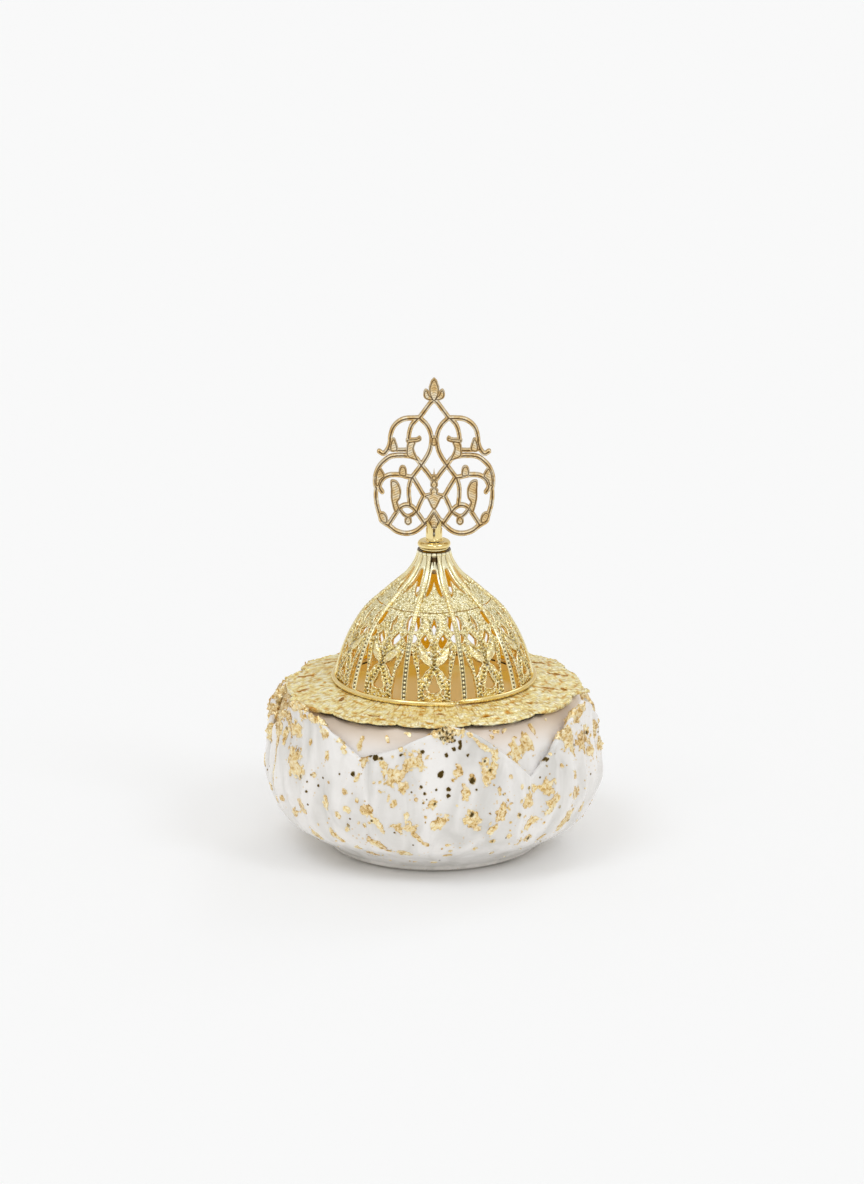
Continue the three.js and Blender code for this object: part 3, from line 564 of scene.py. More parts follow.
def crumpled_gilding():
    """The plate's gilding over torn leaf: granulated, with folded leaf edges, painted shade between the
    grains, in the folds and round the slots, and a painted shadow line under the rim.
    """
    settings = bpy.context.scene.burner_lid
    material, node, coords, tone, deep, rear = start_material("crumpled_gilding", "tone", "deep", "rear")
    # The grains lie in rings around the middle and are longer outwards than along the rim, where they are as
    # wide as given at a radius of 50 mm.
    x, y, z = (node("SeparateXYZ", {"Vector": coords}, k) for k in range(3))
    angle = node("Math", {0: x, 1: node("Math", {0: y, 1: -1.0}, operation="MULTIPLY")}, operation="ARCTAN2")
    along_rim = node("Math", {0: angle, 1: 50 * MM}, operation="MULTIPLY")
    radius = node("VectorMath", {0: coords}, "Value", operation="LENGTH")
    outward = node("Math", {0: radius, 1: 0.62}, operation="MULTIPLY")
    coords = node("CombineXYZ", {0: along_rim, 1: outward, 2: z})
    # These are drawn larger than real ones too.
    grain = 0.95
    grains = node(
        "TexVoronoi", {"Vector": coords, "Scale": per_metre(grain), "Smoothness": 0.3}, feature="SMOOTH_F1"
    )
    folds = node(
        "TexNoise",
        {"Vector": coords, "Scale": per_metre(2.6), "Detail": 5.0, "Roughness": 0.6, "Distortion": 0.8},
    )
    # Painted shade: the gold between the grains is darker.
    between = node("ValToRGB", {0: grains}, stops=[(0.54, 0), (0.8, 0.75)])
    # Painted shadow: a dark line under the rolled rim, broken here and there, stands in for the shadow of the
    # gap beneath it.
    shadow_breaks = node("TexNoise", {"Vector": coords, "Scale": per_metre(14), "Detail": 1.0})
    under = node("ValToRGB", {0: rear}, stops=[(0.35, 0), (0.55, 1)])
    rim_shadow = node("ValToRGB", {0: shadow_breaks}, stops=[(0.44, 0.15), (0.52, 1)])
    rim_shadow = node("Math", {0: under, 1: rim_shadow}, operation="MULTIPLY")
    base = grain_tones(node, coords, grain, settings.gold, tone)
    layers = ((0.4, "#FFF6C4"), (between, "#C89A38"), (deep, "#D2921A"), (rim_shadow, "#2C1D08"))
    height = node("Math", {0: grains, 1: -0.5, 2: folds}, operation="MULTIPLY_ADD")
    # Worn leaf scatters part of the light.
    return end_material(material, node, height, 0.75, 0.7, base, layers, Metallic=0.32, Roughness=0.22)


def polished_gold():
    """Polished gold plate on turned brass: nearly a mirror, with faint turning marks."""
    material, node, coords = start_material("polished_gold_plate")
    wear = node("TexNoise", {"Vector": coords, "Scale": per_metre(6), "Detail": 3.0})
    rough = node("ValToRGB", {0: wear}, stops=[(0.3, 0.08), (0.75, 0.2)])
    turning = node("Mapping", {"Vector": coords, "Scale": (0.1, 0.1, 1.0)})
    marks = node("TexNoise", {"Vector": turning, "Scale": per_metre(0.25)})
    gold = bpy.context.scene.burner_lid.polished
    layers = ((wear, "#EBCB6E"),)
    return end_material(material, node, marks, 0.06, 0.1, gold, layers, Metallic=1.0, Roughness=rough)


def antique_gold():
    """Cast brass in antique gold: satin strands, patinated brown in the engraved lines."""
    settings = bpy.context.scene.burner_finial
    material, node, coords, engraved = start_material("antique_gold_casting", "engraved")
    patina = node("TexNoise", {"Vector": coords, "Scale": per_metre(2.2), "Detail": 4.0})
    stops = [(0.32, "#E3BE80"), (0.48, settings.antique), (0.62, "#FFF3D6")]
    satin = node("ValToRGB", {0: patina}, stops=stops)
    layers = ((engraved, settings.engraving),)
    rough = node("ValToRGB", {0: engraved}, stops=[(0.0, 0.34), (1.0, 0.75)])
    grain = node("TexNoise", {"Vector": coords, "Scale": per_metre(0.5), "Detail": 2.0})
    return end_material(material, node, grain, 0.3, 0.2, satin, layers, Metallic=0.9, Roughness=rough)


def spun_brass():
    """Spun brass: fine rings from the lathe, dulled and darkened a little by heat."""
    material, node, coords = start_material("spun_brass")
    heat = node("TexNoise", {"Vector": coords, "Scale": per_metre(9), "Detail": 4.0})
    base = node("ValToRGB", {0: heat}, stops=[(0.35, "#8E6A2C"), (0.55, "#C79F4A"), (0.75, "#D9B868")])
    squeezed = node("Mapping", {"Vector": coords, "Scale": (0.05, 0.05, 1.0)})
    rings = node("TexNoise", {"Vector": squeezed, "Scale": per_metre(0.4)})
    return end_material(material, node, rings, 0.25, 0.2, base, Metallic=1.0, Roughness=0.36)


def zinc_plated_steel():
    """Zinc-plated steel: a grey satin with faint cloudy spangle."""
    material, node, coords = start_material("zinc_plated_steel")
    spangle = node("TexVoronoi", {"Vector": coords, "Scale": per_metre(1.6)})
    base = node("ValToRGB", {0: spangle}, stops=[(0.0, "#9C9D9A"), (1.0, "#C2C2BD")])
    scratch = node("TexNoise", {"Vector": coords, "Scale": per_metre(0.4), "Detail": 2.0})
    return end_material(material, node, scratch, 0.2, 0.1, base, Metallic=1.0, Roughness=0.38)


made_materials = {}


def finish_of(maker):
    """The material that a function makes, made when it is first asked for."""
    if maker not in made_materials:
        made_materials[maker] = maker()
    return made_materials[maker]


# The bowl

PETALS = 6
# Tip and right-hand valley of each petal, from the front one round to the right, as shares of the front tip's
# height
TIP_SHARES = (1.0, 1.0, 0.88, 0.88, 0.88, 1.03)
VALLEY_SHARES = (0.64, 0.68, 0.68, 0.68, 0.69, 0.77)
# Degrees to the right of the front at which the valleys lie, from the front petal's left one all round
VALLEY_TURNS = (-27.5, 37.0, 93.0, 156.3, 216.3, 276.3, 332.5)
# Folds down a petal: place at its edge and at the foot, from -1 to 1 across it, then rise and width. Every
# second petal has them the other way round.
FOLDS = (
    (-0.56, -0.74, 1.2, 3.6), (-0.2, -0.26, 1.5, 4.0), (0.09, 0.07, 1.0, 3.2), (0.38, 0.52, 1.6, 4.2),
    (0.72, 0.88, 1.1, 3.4),
)
FOLD_START = 8.0
FOLD_FULL = 32.0
FOLD_SINK = 0.85
# The petals' outside: shares of the belly's radius and of the front tip's height
BELLY_SHARES = (
    (0.582, 0.0), (0.689, 0.06), (0.781, 0.128), (0.829, 0.162), (0.89, 0.213), (0.939, 0.28),
    (0.976, 0.373), (1.0, 0.465), (0.994, 0.6), (0.972, 0.77), (0.958, 0.9), (0.97, 1.0), (0.975, 1.08),
)
# How far the front petal's left edge dips, as a share of the fall from its tip to the valley
FRONT_DIP = 0.16
EDGE_POWER = 1.3
LIP_RADIUS = 1.3
LIP_FLARE = 0.5
PETAL_RIDGE = 1.1
BACK_DEPTH = 12.0
BOWL_WALL = 6.0
FOOT_WIDTH = 6.0
FOOT_RECESS = 2.0
# How far the body is drawn in just above the foot
FOOT_WAIST = 2.4
FLOOR_HEIGHT = 8.0
RIM_RADIUS = 55.0
MOUTH_RADIUS = 47.0
SEAT_GAP = 0.45
# The groove behind the petals lies this far inside their face, and the wall swells by this much above it.
BACK_GAP = 3.6
BACK_SWELL = 1.6
# The crease between two petals: its depth, and its width as a share of half a petal
CREASE_DEPTH = 0.8
CREASE_WIDTH = 0.09
# Height at which the petals' outside starts, over the groove above the foot
SIDE_START = 1.6
BOWL_COLUMNS = 440
OUTER_ROWS = 104
LIP_ROWS = 7
BACK_ROWS = 13
INNER_ROWS = 14
WALL_ROWS = 18


def belly_radius_at(height, settings):
    """Radius of the petals' outside at a height."""
    tip, belly = settings.tip_height / MM, settings.belly_radius / MM
    line = smooth_line(BELLY_SHARES, per_span=10)
    return np.interp(height, line[:, 1] * tip, line[:, 0] * belly)


def petal_at(degrees):
    """The petal at each angle, the place across it from -1 to 1, and half of its span in radians."""
    turns = np.array(VALLEY_TURNS)
    position = np.interp((degrees - turns[0]) % FULL_TURN, turns - turns[0], np.arange(PETALS + 1))
    petal = np.minimum(np.floor(position).astype(int), PETALS - 1)
    return petal, 2 * (position - petal) - 1, np.radians(np.diff(turns))[petal] / 2


def petal_edge(degrees, settings):
    """Share of the way from a petal's middle to the valley, and the edge's height, at each angle."""
    petal, sideways, _ = petal_at(degrees)
    share = np.abs(sideways)
    tip = np.array(TIP_SHARES)[petal]
    valley = np.array(VALLEY_SHARES)[np.where(sideways > 0, petal, petal - 1)]
    # The front petal has a fuller tip, and its left edge dips below it.
    front = share**1.5 + FRONT_DIP * (sideways < 0) * np.sin(share * math.pi)
    fall = np.where(petal == 0, front, share**EDGE_POWER)
    return share, (tip + (valley - tip) * fall) * settings.tip_height / MM


def plate_under(radius):
    """Height of the underside of the lid's plate."""
    seat, edge, under = RING_HIGH[1], PLATE_HIGH[0], PLATE_HIGH[2] - PLATE_THICKNESS
    return under - np.maximum(0, radius - seat) * (under - PLATE_LOW[2]) / (edge - seat)


def fold_lift(degrees, height, edge, settings):
    """How far the soft folds lift the petals' outside, with a little unevenness of the hand-laid clay."""
    petal, sideways, half_span = petal_at(degrees)
    place = np.where(petal % 2 == 1, -sideways, sideways)
    lifts = []
    for top, foot, rise, width in FOLDS:
        away = (place - foot - (top - foot) * height / edge) * half_span * settings.belly_radius / MM
        lifts.append(rise * np.exp(-((away / width) ** 2)))
    uneven = 0.3 * noise_grid(around(6.0, degrees, height / 6.0), 1.0, 3, 3.1)
    fine = 0.16 * noise_grid(around(18.0, degrees, height / 4.0), 1.0, 2, 8.3)
    lift = np.maximum.reduce(lifts) - FOLD_SINK + uneven + fine
    return lift * ease(height, FOLD_START, FOLD_FULL) * settings.fold_depth


def bowl_grid(settings):
    """The bowl's skin: rows of points per column, from the foot's middle over the lip to the floor's middle.

    Also gives the row that the petals' outside starts at, and the row that their inside ends at.
    """
    degrees = np.arange(BOWL_COLUMNS) * FULL_TURN / BOWL_COLUMNS
    share, edge = petal_edge(degrees, settings)
    edge = edge + 0.8 * noise_grid(around(3.0, degrees, 0.0), 1.0, 3, 1.9)
    tip = settings.tip_height / MM
    foot = BELLY_SHARES[0][0] * settings.belly_radius / MM
    foot_inside = foot - FOOT_WIDTH
    # The foot ring, with the groove where its glaze ends
    rows = [
        (0.0, FOOT_RECESS), (foot_inside - FOOT_RECESS, FOOT_RECESS), (foot_inside - 0.4, 0.25),
        (foot_inside, 0.0), (foot - 1.3, 0.0), (foot - 1.2, 0.36), (foot - 0.25, 0.42), (foot, 0.7),
    ]
    outer_start = len(rows)
    top = edge - LIP_RADIUS
    crease = np.exp(-(((share - 1) / CREASE_WIDTH) ** 2))
    for t in np.linspace(0, 1, OUTER_ROWS):
        height = SIDE_START + (top - SIDE_START) * t
        ridge = PETAL_RIDGE * np.cos(share * math.pi / 2) * ease(height, 0, tip)
        flare = LIP_FLARE * np.exp(-(((edge - height) / 3.2) ** 2))
        waist = FOOT_WAIST * ease(height, 0.8, 3.5) * (1 - ease(height, 3.0, 14.0))
        sink = CREASE_DEPTH * crease * ease(height, edge - 30, edge - 4) + waist
        side = belly_radius_at(height, settings) + ridge + flare - sink
        rows.append((side + fold_lift(degrees, height, edge, settings), height))
    shoulder = rows[-1][0]
    for turn in np.linspace(0, math.pi, LIP_ROWS + 2)[1:-1]:
        rows.append((shoulder - LIP_RADIUS * (1 - math.cos(turn)), top + LIP_RADIUS * math.sin(turn)))
    # Behind its lip a petal falls into a groove, and the body rises from there to a rim under the plate.
    inner_lip = shoulder - 2 * LIP_RADIUS
    groove = top - BACK_DEPTH * (1 - share) ** 0.8
    groove_radius = np.minimum(belly_radius_at(groove, settings) - BACK_GAP, inner_lip)
    for t in np.linspace(0, 1, BACK_ROWS):
        rows.append((inner_lip + (groove_radius - inner_lip) * t, top + (groove - top) * t))
    rim_height = plate_under(RIM_RADIUS) - SEAT_GAP
    for t in np.linspace(0, 1, INNER_ROWS + 1)[1:]:
        radius = groove_radius + (RIM_RADIUS - groove_radius) * t**0.85 + BACK_SWELL * math.sin(t * math.pi)
        rows.append((radius, groove + (rim_height - groove) * t))
    inner_end = len(rows)
    mouth_height = plate_under(MOUTH_RADIUS) - SEAT_GAP
    rows += [
        (MOUTH_RADIUS + 0.6, mouth_height), (MOUTH_RADIUS, mouth_height - 0.6),
        (MOUTH_RADIUS, mouth_height - 4.2),
    ]
    for height in np.linspace(0.82, 0.2, WALL_ROWS) * tip:
        rows.append((belly_radius_at(height, settings) - BOWL_WALL, height))
    rows += [(foot - 1.5, FLOOR_HEIGHT), (foot * 0.5, FLOOR_HEIGHT), (0.0, FLOOR_HEIGHT)]
    rows = [np.stack([radius + 0 * degrees, height + 0 * degrees], axis=-1) for radius, height in rows]
    profile = np.stack(rows, axis=1)
    points = around(profile[..., 0], degrees[:, None], profile[..., 1])
    return profile, points, outer_start, inner_end


def build_bowl(settings):
    """The bowl as one closed skin, with numbers for its bare, shaded foot and for the painted shade,
    reflection and glow inside it.
    """
    profile, points, first, last = bowl_grid(settings)
    vertices = np.concatenate([points[0, :1], points[:, 1:-1].reshape(-1, 3), points[0, -1:]])
    heights = profile[:, 1:-1, 1]
    ids = 1 + np.arange(heights.size).reshape(heights.shape)
    after = np.roll(ids, -1, axis=0)
    faces = quads(ids)
    faces += [[0, b, a] for a, b in zip(ids[:, 0].tolist(), after[:, 0].tolist())]
    faces += [[heights.size + 1, a, b] for a, b in zip(ids[:, -1].tolist(), after[:, -1].tolist())]
    # The foot's underside is bare and darker as painted shade. Inside, the number grows up the petals' backs
    # towards the plate, for painted shade under it, and again up to the mouth, for a painted warm reflection
    # and glow.
    row = np.arange(heights.shape[1])
    lip = first + OUTER_ROWS + LIP_ROWS
    wall = (0.05 + 0.4 * ease(heights, 49.0, 63.0)) * ease(row, lip - 2, lip + 2)
    inside = np.where(row > last - 2, 0.7 + 0.3 * ease(heights, 48.0, 57.0), wall)
    tones = {
        "bare_foot_shade": np.concatenate([[0.6], np.tile(row < 3, BOWL_COLUMNS), [0.0]]),
        "inside": np.concatenate([[0.0], inside.ravel(), [0.7]]),
    }
    bowl = new_object("lotus_bowl", vertices, faces, tones=tones)
    finish(bowl, "bowl", glazed_earthenware, "bowl", angle=60)


# Where the camera's frame puts the burner: its middle line and its foot's centre in pixels, and pixels per
# millimetre across, in depth and in height
MIDDLE_PIXEL = 434.0
FOOT_PIXEL = 843.9
PIXELS_PER_MM = 2.581
DEPTH_PIXELS = 0.7245
HEIGHT_PIXELS = 2.477
# The two enlargements of the photograph in which the flakes were measured: their corners and enlargement
LEFT_CLOSEUP = (250, 640)
RIGHT_CLOSEUP = (430, 640)
ENLARGEMENT = 6.53
# Each flake is its place across and down, length, width, and lean of its top to the right in degrees.
LEFT_FLAKES = (
    (300, 760, 120, 80, 0), (318, 850, 120, 90, -20), (305, 570, 100, 80, 0), (215, 620, 190, 22, 16),
    (188, 720, 230, 16, 14), (152, 880, 170, 14, 8), (245, 620, 130, 18, 10), (500, 600, 84, 60, 0),
    (590, 612, 62, 28, -60), (415, 660, 50, 16, 0), (515, 745, 64, 26, 5), (615, 705, 62, 40, -50),
    (735, 795, 84, 64, 60), (990, 700, 44, 32, 0), (872, 808, 84, 64, 40), (1062, 790, 175, 112, 50),
    (948, 880, 175, 112, 45), (1000, 950, 74, 64, 0), (700, 890, 110, 22, 25), (850, 925, 30, 26, 0),
    (615, 980, 42, 36, 0), (808, 925, 22, 20, 0), (500, 1040, 92, 30, 5), (352, 1085, 92, 56, 15),
    (300, 1120, 62, 46, -30), (215, 1030, 48, 26, -20), (175, 1040, 62, 18, -15), (630, 1100, 46, 42, 0),
    (580, 1135, 52, 26, 0), (635, 1225, 42, 32, 20), (765, 1110, 92, 78, 0), (797, 1170, 36, 30, 0),
    (845, 1200, 112, 40, -25), (750, 1205, 42, 18, -20), (548, 1255, 74, 52, -20), (590, 1290, 84, 30, -60),
    (440, 1270, 112, 46, -45), (830, 1320, 172, 52, -60), (1012, 1380, 142, 46, -75),
    (790, 1385, 82, 42, -80), (700, 1345, 52, 16, -80), (905, 1365, 62, 18, -75), (962, 1222, 84, 84, 0),
    (1052, 1220, 92, 84, 0), (1092, 1270, 84, 40, -35), (1020, 1140, 44, 36, 0), (1150, 1325, 62, 26, -50),
    (940, 1060, 62, 36, 10), (910, 1020, 62, 16, 10), (1085, 1025, 30, 24, 0), (1190, 1060, 68, 66, 0),
    (1225, 1178, 90, 76, 40), (910, 1440, 16, 42, 0), (1070, 1450, 14, 34, 0), (1200, 1450, 16, 54, 0),
    (125, 575, 80, 44, 0), (105, 645, 40, 30, 0), (425, 870, 50, 26, 10), (690, 1040, 40, 18, 10),
    (140, 960, 60, 16, 0),
)
RIGHT_FLAKES = (
    (250, 612, 62, 34, -40), (300, 645, 62, 30, -50), (342, 690, 84, 36, -45), (412, 735, 74, 60, -30),
    (345, 778, 92, 64, 0), (380, 850, 152, 84, 15), (275, 900, 72, 40, -10), (180, 840, 86, 62, -10),
    (225, 972, 112, 50, -15), (275, 1145, 112, 98, 0), (300, 1218, 52, 52, 0), (462, 1122, 150, 74, 38),
    (402, 1222, 116, 46, 25), (400, 1300, 30, 46, 0), (650, 1045, 92, 62, 10), (575, 1130, 42, 32, 30),
    (655, 1190, 132, 56, 50), (770, 958, 112, 78, 0), (800, 1068, 134, 86, 20), (950, 990, 76, 46, 15),
    (862, 1180, 152, 50, 50), (630, 1290, 112, 44, 65), (730, 1275, 84, 18, 65), (120, 1390, 74, 18, 75),
    (285, 1350, 52, 22, 60), (120, 1325, 42, 18, 80), (515, 1270, 42, 30, 40), (405, 1380, 42, 24, 10),
    (880, 640, 222, 66, -20), (945, 470, 150, 60, 10), (985, 645, 114, 92, -10), (1030, 705, 92, 30, -10),
    (935, 870, 52, 22, 0), (850, 810, 34, 18, 0), (450, 970, 50, 32, 0), (690, 960, 54, 30, 0),
    (600, 950, 34, 22, 0), (520, 880, 30, 22, 0), (60, 1185, 120, 70, 60), (980, 1090, 60, 20, 20),
)
# The same on the inner wall behind the petals
LEFT_WALL_FLAKES = ((985, 600, 52, 88, 15), (870, 672, 42, 26, 0), (690, 692, 84, 28, 0))
RIGHT_WALL_FLAKES = (
    (560, 540, 42, 66, -30), (480, 600, 84, 82, 0), (720, 570, 112, 36, -15), (578, 742, 164, 86, -15),
    (655, 672, 132, 88, -30), (825, 490, 54, 46, 0), (450, 566, 30, 44, 0),
)
# Crumpled leaf that stands off the petals' tips, and crusts on the outline
LEFT_CRUSTS = (
    (330, 430, 80, 170, 10), (220, 450, 90, 80, 0), (430, 478, 44, 110, 25), (270, 500, 90, 60, 0),
    (200, 560, 110, 44, 12), (128, 560, 70, 46, 0), (108, 640, 50, 34, 0),
)
RIGHT_CRUSTS = (
    (180, 592, 74, 86, 0), (98, 604, 120, 118, 0), (40, 600, 60, 70, 0), (1062, 580, 100, 56, -20),
    (1098, 672, 80, 40, -20), (945, 430, 90, 80, 0), (850, 520, 70, 60, 30), (30, 575, 40, 110, 0),
)
# Crusts on the tips of the petals behind, by their angle to the right of the front, height, length, width and
# lean in millimetres and degrees, whether they lie on the inner wall, and how burnt they are
BACK_CRUSTS = (
    (-112, 55, 12, 16, 0, False, 0.0), (-98, 52, 9, 9, 20, False, 0.0), (-124, 51, 10, 9, -20, False, 0.0),
    (-113, 56, 9, 14, 0, True, 0.0), (125, 55, 11, 14, 0, False, 0.0), (112, 51, 9, 8, 10, False, 0.0),
    (124, 56, 8, 12, 0, True, 0.0), (98, 47, 8, 7, 0, False, 0.0), (-88, 50, 9, 6, 0, False, 0.0),
    (-97, 54, 12, 14, 0, True, 0.0), (-106, 56, 11, 12, 0, True, 0.0), (-90, 52, 10, 9, 0, True, 0.0),
    (-80, 56, 10, 8, 10, True, 0.0), (97, 52, 9, 10, 0, True, 0.0), (106, 55, 9, 10, 0, True, 0.0),
)
# Burnt spots: place across and down, and size
LEFT_SPOTS = (
    (820, 760, 40), (785, 738, 24), (860, 765, 26), (990, 738, 26), (1130, 716, 30), (665, 867, 30),
    (585, 870, 18), (485, 890, 14), (390, 912, 16), (448, 940, 22), (385, 985, 22), (1120, 940, 26),
    (1140, 990, 24), (1215, 965, 18), (1130, 1050, 14), (1225, 1145, 14), (795, 1172, 18), (350, 885, 24),
)
RIGHT_SPOTS = (
    (84, 580, 20), (110, 592, 22), (130, 602, 18), (80, 612, 18), (115, 628, 20), (95, 642, 22),
    (125, 652, 16), (140, 575, 16), (68, 635, 14), (105, 560, 14), (62, 590, 16), (66, 612, 20),
    (52, 560, 12), (98, 612, 14), (145, 618, 20), (158, 640, 22), (162, 600, 12), (140, 660, 16),
    (108, 664, 12), (90, 560, 12), (150, 700, 34), (190, 652, 38), (190, 683, 32), (105, 745, 30),
    (242, 740, 26), (66, 865, 48), (120, 960, 34), (120, 1006, 38), (40, 965, 20), (272, 905, 40),
    (750, 750, 44), (270, 1132, 30), (578, 1130, 22), (300, 960, 20), (30, 1060, 18), (1010, 600, 22),
    (930, 685, 18), (380, 835, 20), (345, 770, 20), (400, 1300, 18), (640, 1285, 24),
)
LEAF_RISE = 0.16
LEAF_SINK = -0.12
CRUST_RISE = 0.9
# How many flakes are made up behind, and how many specks all round
BACK_FLAKES = 120
DUST_FLAKES = 260
# Heights between which the made-up flakes lie
FLAKE_HEIGHTS = (5, 62)
FLAKE_SEED = 7


def bowl_place(across, down, corner, settings):
    """Angle and height of a place on the bowl's outside, from where it lies in an enlargement."""
    x = corner[0] + across / ENLARGEMENT - MIDDLE_PIXEL
    y = FOOT_PIXEL - corner[1] - down / ENLARGEMENT
    radius = settings.belly_radius / MM
    # The height depends on the radius and the radius on the height, so each round brings both closer.
    for _ in range(6):
        sine = max(-0.998, min(0.998, x / (PIXELS_PER_MM * radius)))
        height = (y + DEPTH_PIXELS * radius * math.sqrt(1 - sine * sine)) / HEIGHT_PIXELS
        radius = float(belly_radius_at(height, settings))
    return math.degrees(math.asin(sine)), height


def flake_list(random, settings):
    """Every flake: angle, height, length, width, lean, whether it is on the inner wall, burning and lift."""
    # Millimetres per pixel of an enlargement
    scale = 1 / (ENLARGEMENT * PIXELS_PER_MM)
    flakes = [(*crust, CRUST_RISE) for crust in BACK_CRUSTS]
    groups = (
        (LEFT_FLAKES, LEFT_CLOSEUP, False, 0.0), (RIGHT_FLAKES, RIGHT_CLOSEUP, False, 0.0),
        (LEFT_WALL_FLAKES, LEFT_CLOSEUP, True, 0.0), (RIGHT_WALL_FLAKES, RIGHT_CLOSEUP, True, 0.0),
        (LEFT_CRUSTS, LEFT_CLOSEUP, False, CRUST_RISE), (RIGHT_CRUSTS, RIGHT_CLOSEUP, False, CRUST_RISE),
    )
    for group, corner, on_wall, lift in groups:
        for across, down, length, width, lean in group:
            angle, height = bowl_place(across, down, corner, settings)
            # A flake near the outline turns away from the camera, so it is wider than it looks.
            widened = min(2.2, 1 / max(0.3, math.cos(math.radians(angle))))
            flakes.append((angle, height, length * scale, width * scale * widened, lean, on_wall, 0.0, lift))
    for group, corner in ((LEFT_SPOTS, LEFT_CLOSEUP), (RIGHT_SPOTS, RIGHT_CLOSEUP)):
        for across, down, spot in group:
            place = bowl_place(across, down, corner, settings)
            flakes.append((*place, spot * scale, 0.85 * spot * scale, 0, False, 1.0, 0.0))
    for _ in range(BACK_FLAKES):
        angle = random.uniform(85, 275)
        length = min(12, random.lognormal(1.35, 0.5))
        width = length * random.uniform(0.35, 0.8)
        height = random.uniform(*FLAKE_HEIGHTS)
        flakes.append((angle, height, length, width, random.uniform(-80, 80), False, 0.0, 0.0))
    for _ in range(DUST_FLAKES):
        speck = random.uniform(0.7, 1.7)
        angle = random.uniform(0, FULL_TURN)
        lean = random.uniform(-80, 80)
        char = random.choice([0.0, 0.0, 0.0, 0.6])
        flakes.append((angle, random.uniform(*FLAKE_HEIGHTS), speck, speck * 0.7, lean, False, char, 0.0))
    return flakes


def build_leaf(settings):
    """Every flake and crust in one sheet, which follows the bowl's skin a little above it."""
    profile, points, first, last = bowl_grid(settings)
    profile, points = profile[:, first:last], points[:, first:last]
    rows = profile.shape[1]
    lip_row = OUTER_ROWS + LIP_ROWS // 2
    steps = np.linalg.norm(np.diff(points, axis=1), axis=2)
    along = np.concatenate([np.zeros((BOWL_COLUMNS, 1)), np.cumsum(steps, axis=1)], axis=1)
    across = np.roll(points, -1, axis=0) - np.roll(points, 1, axis=0)
    normals = np.cross(across, np.gradient(points, axis=1))
    normals /= np.linalg.norm(normals, axis=2, keepdims=True) + 1e-12

    def sample(grid, u, v):
        """Values of a per-point grid between its columns and rows."""
        u0, v0 = np.floor(u).astype(int), np.minimum(np.floor(v).astype(int), rows - 2)
        fu, fv = u - u0, v - v0
        if grid.ndim == 3:
            fu, fv = fu[..., None], fv[..., None]
        a, b, c, d = (grid[(u0 + i) % BOWL_COLUMNS, v0 + j] for j in (0, 1) for i in (0, 1))
        return (a * (1 - fu) + b * fu) * (1 - fv) + (c * (1 - fu) + d * fu) * fv

    us = np.arange(0, BOWL_COLUMNS, 0.5)
    vs = np.arange(0, rows - 1 + 1e-6, 0.75)
    grid_u, grid_v = np.meshgrid(us, vs, indexing="ij")
    degrees = grid_u * FULL_TURN / BOWL_COLUMNS
    places = sample(points, grid_u, grid_v)
    length = sample(along, grid_u, grid_v)
    ragged, torn = noise_grid(places, 2.6, 3, 4.4), noise_grid(places, 0.9, 2, 9.1)
    drifts, specks = noise_grid(places, 7.0, 2, 21.0), noise_grid(places, 1.8, 2, 27.0)
    aged = np.clip(0.35 + 0.9 * drifts + 0.5 * specks, 0, 1)
    field = np.ones(grid_u.shape)
    burnt, lift = np.zeros(grid_u.shape), np.zeros(grid_u.shape)
    random = np.random.default_rng(FLAKE_SEED)
    for angle, height, long, wide, lean, on_wall, char, rise in flake_list(random, settings):
        column = int(round(angle % FULL_TURN / FULL_TURN * BOWL_COLUMNS)) % BOWL_COLUMNS
        # The flake lies on the outside or on the inner wall, in the row that is nearest to its height.
        start, end = (lip_row, rows) if on_wall else (0, lip_row)
        row = start + int(np.argmin(np.abs(profile[column, start:end, 1] - height)))
        x = np.radians(turned_away(degrees, angle)) * profile[column, row, 0]
        y = length - along[column, row]
        reach = 1.3 * max(long, wide)
        near = (np.abs(x) < reach) & (np.abs(y) < reach)
        over, up = leaning(x[near], y[near], lean)
        shape = np.sqrt((over / (wide / 2)) ** 2 + (up / (long / 2)) ** 2) - 1
        # A small flake's outline is torn less deeply than a large one's.
        value = shape + 0.04 + 0.8 * min(1.0, long / 4) * ragged[near] + 0.45 * torn[near]
        field[near] = np.minimum(field[near], value)
        burnt[near] = np.maximum(burnt[near], char * ease(-value, -0.3, 0.1))
        lift[near] = np.maximum(lift[near], rise * np.clip(0.2 - value, 0, 1))
    field[:, [0, -1]] = 1.0
    folded = np.abs(noise_grid(places, 1.5, 3, 12.0))
    crinkle = LEAF_RISE + 0.3 * folded + lift * (0.35 + 1.6 * folded)

    def place(u, v, out):
        return sample(points, u, v) + sample(normals, u, v) * out[:, None]

    leaf = pierced_sheet(
        "gold_leaf_flakes", us, vs, field, crinkle, np.full(field.shape, LEAF_SINK), place, BOWL_COLUMNS,
        burnt=burnt, aged=aged,
    )
    finish(leaf, "bowl", gold_leaf, angle=35)


# The lid's plate

PLATE_HOLE = 35.6
PLATE_STEP = 0.42
LOBE_DEPTH = 2.6
# The solid plate is widest at a lobe, this many degrees from the X axis.
WIDEST_TURN = 12.0
# The notches behind the two sides lie further back than an even spacing gives: how far, where, and over what
# spread
NOTCH_SHIFT = 4.5
NOTCH_PLACE = 110.0
NOTCH_SPREAD = 12.0
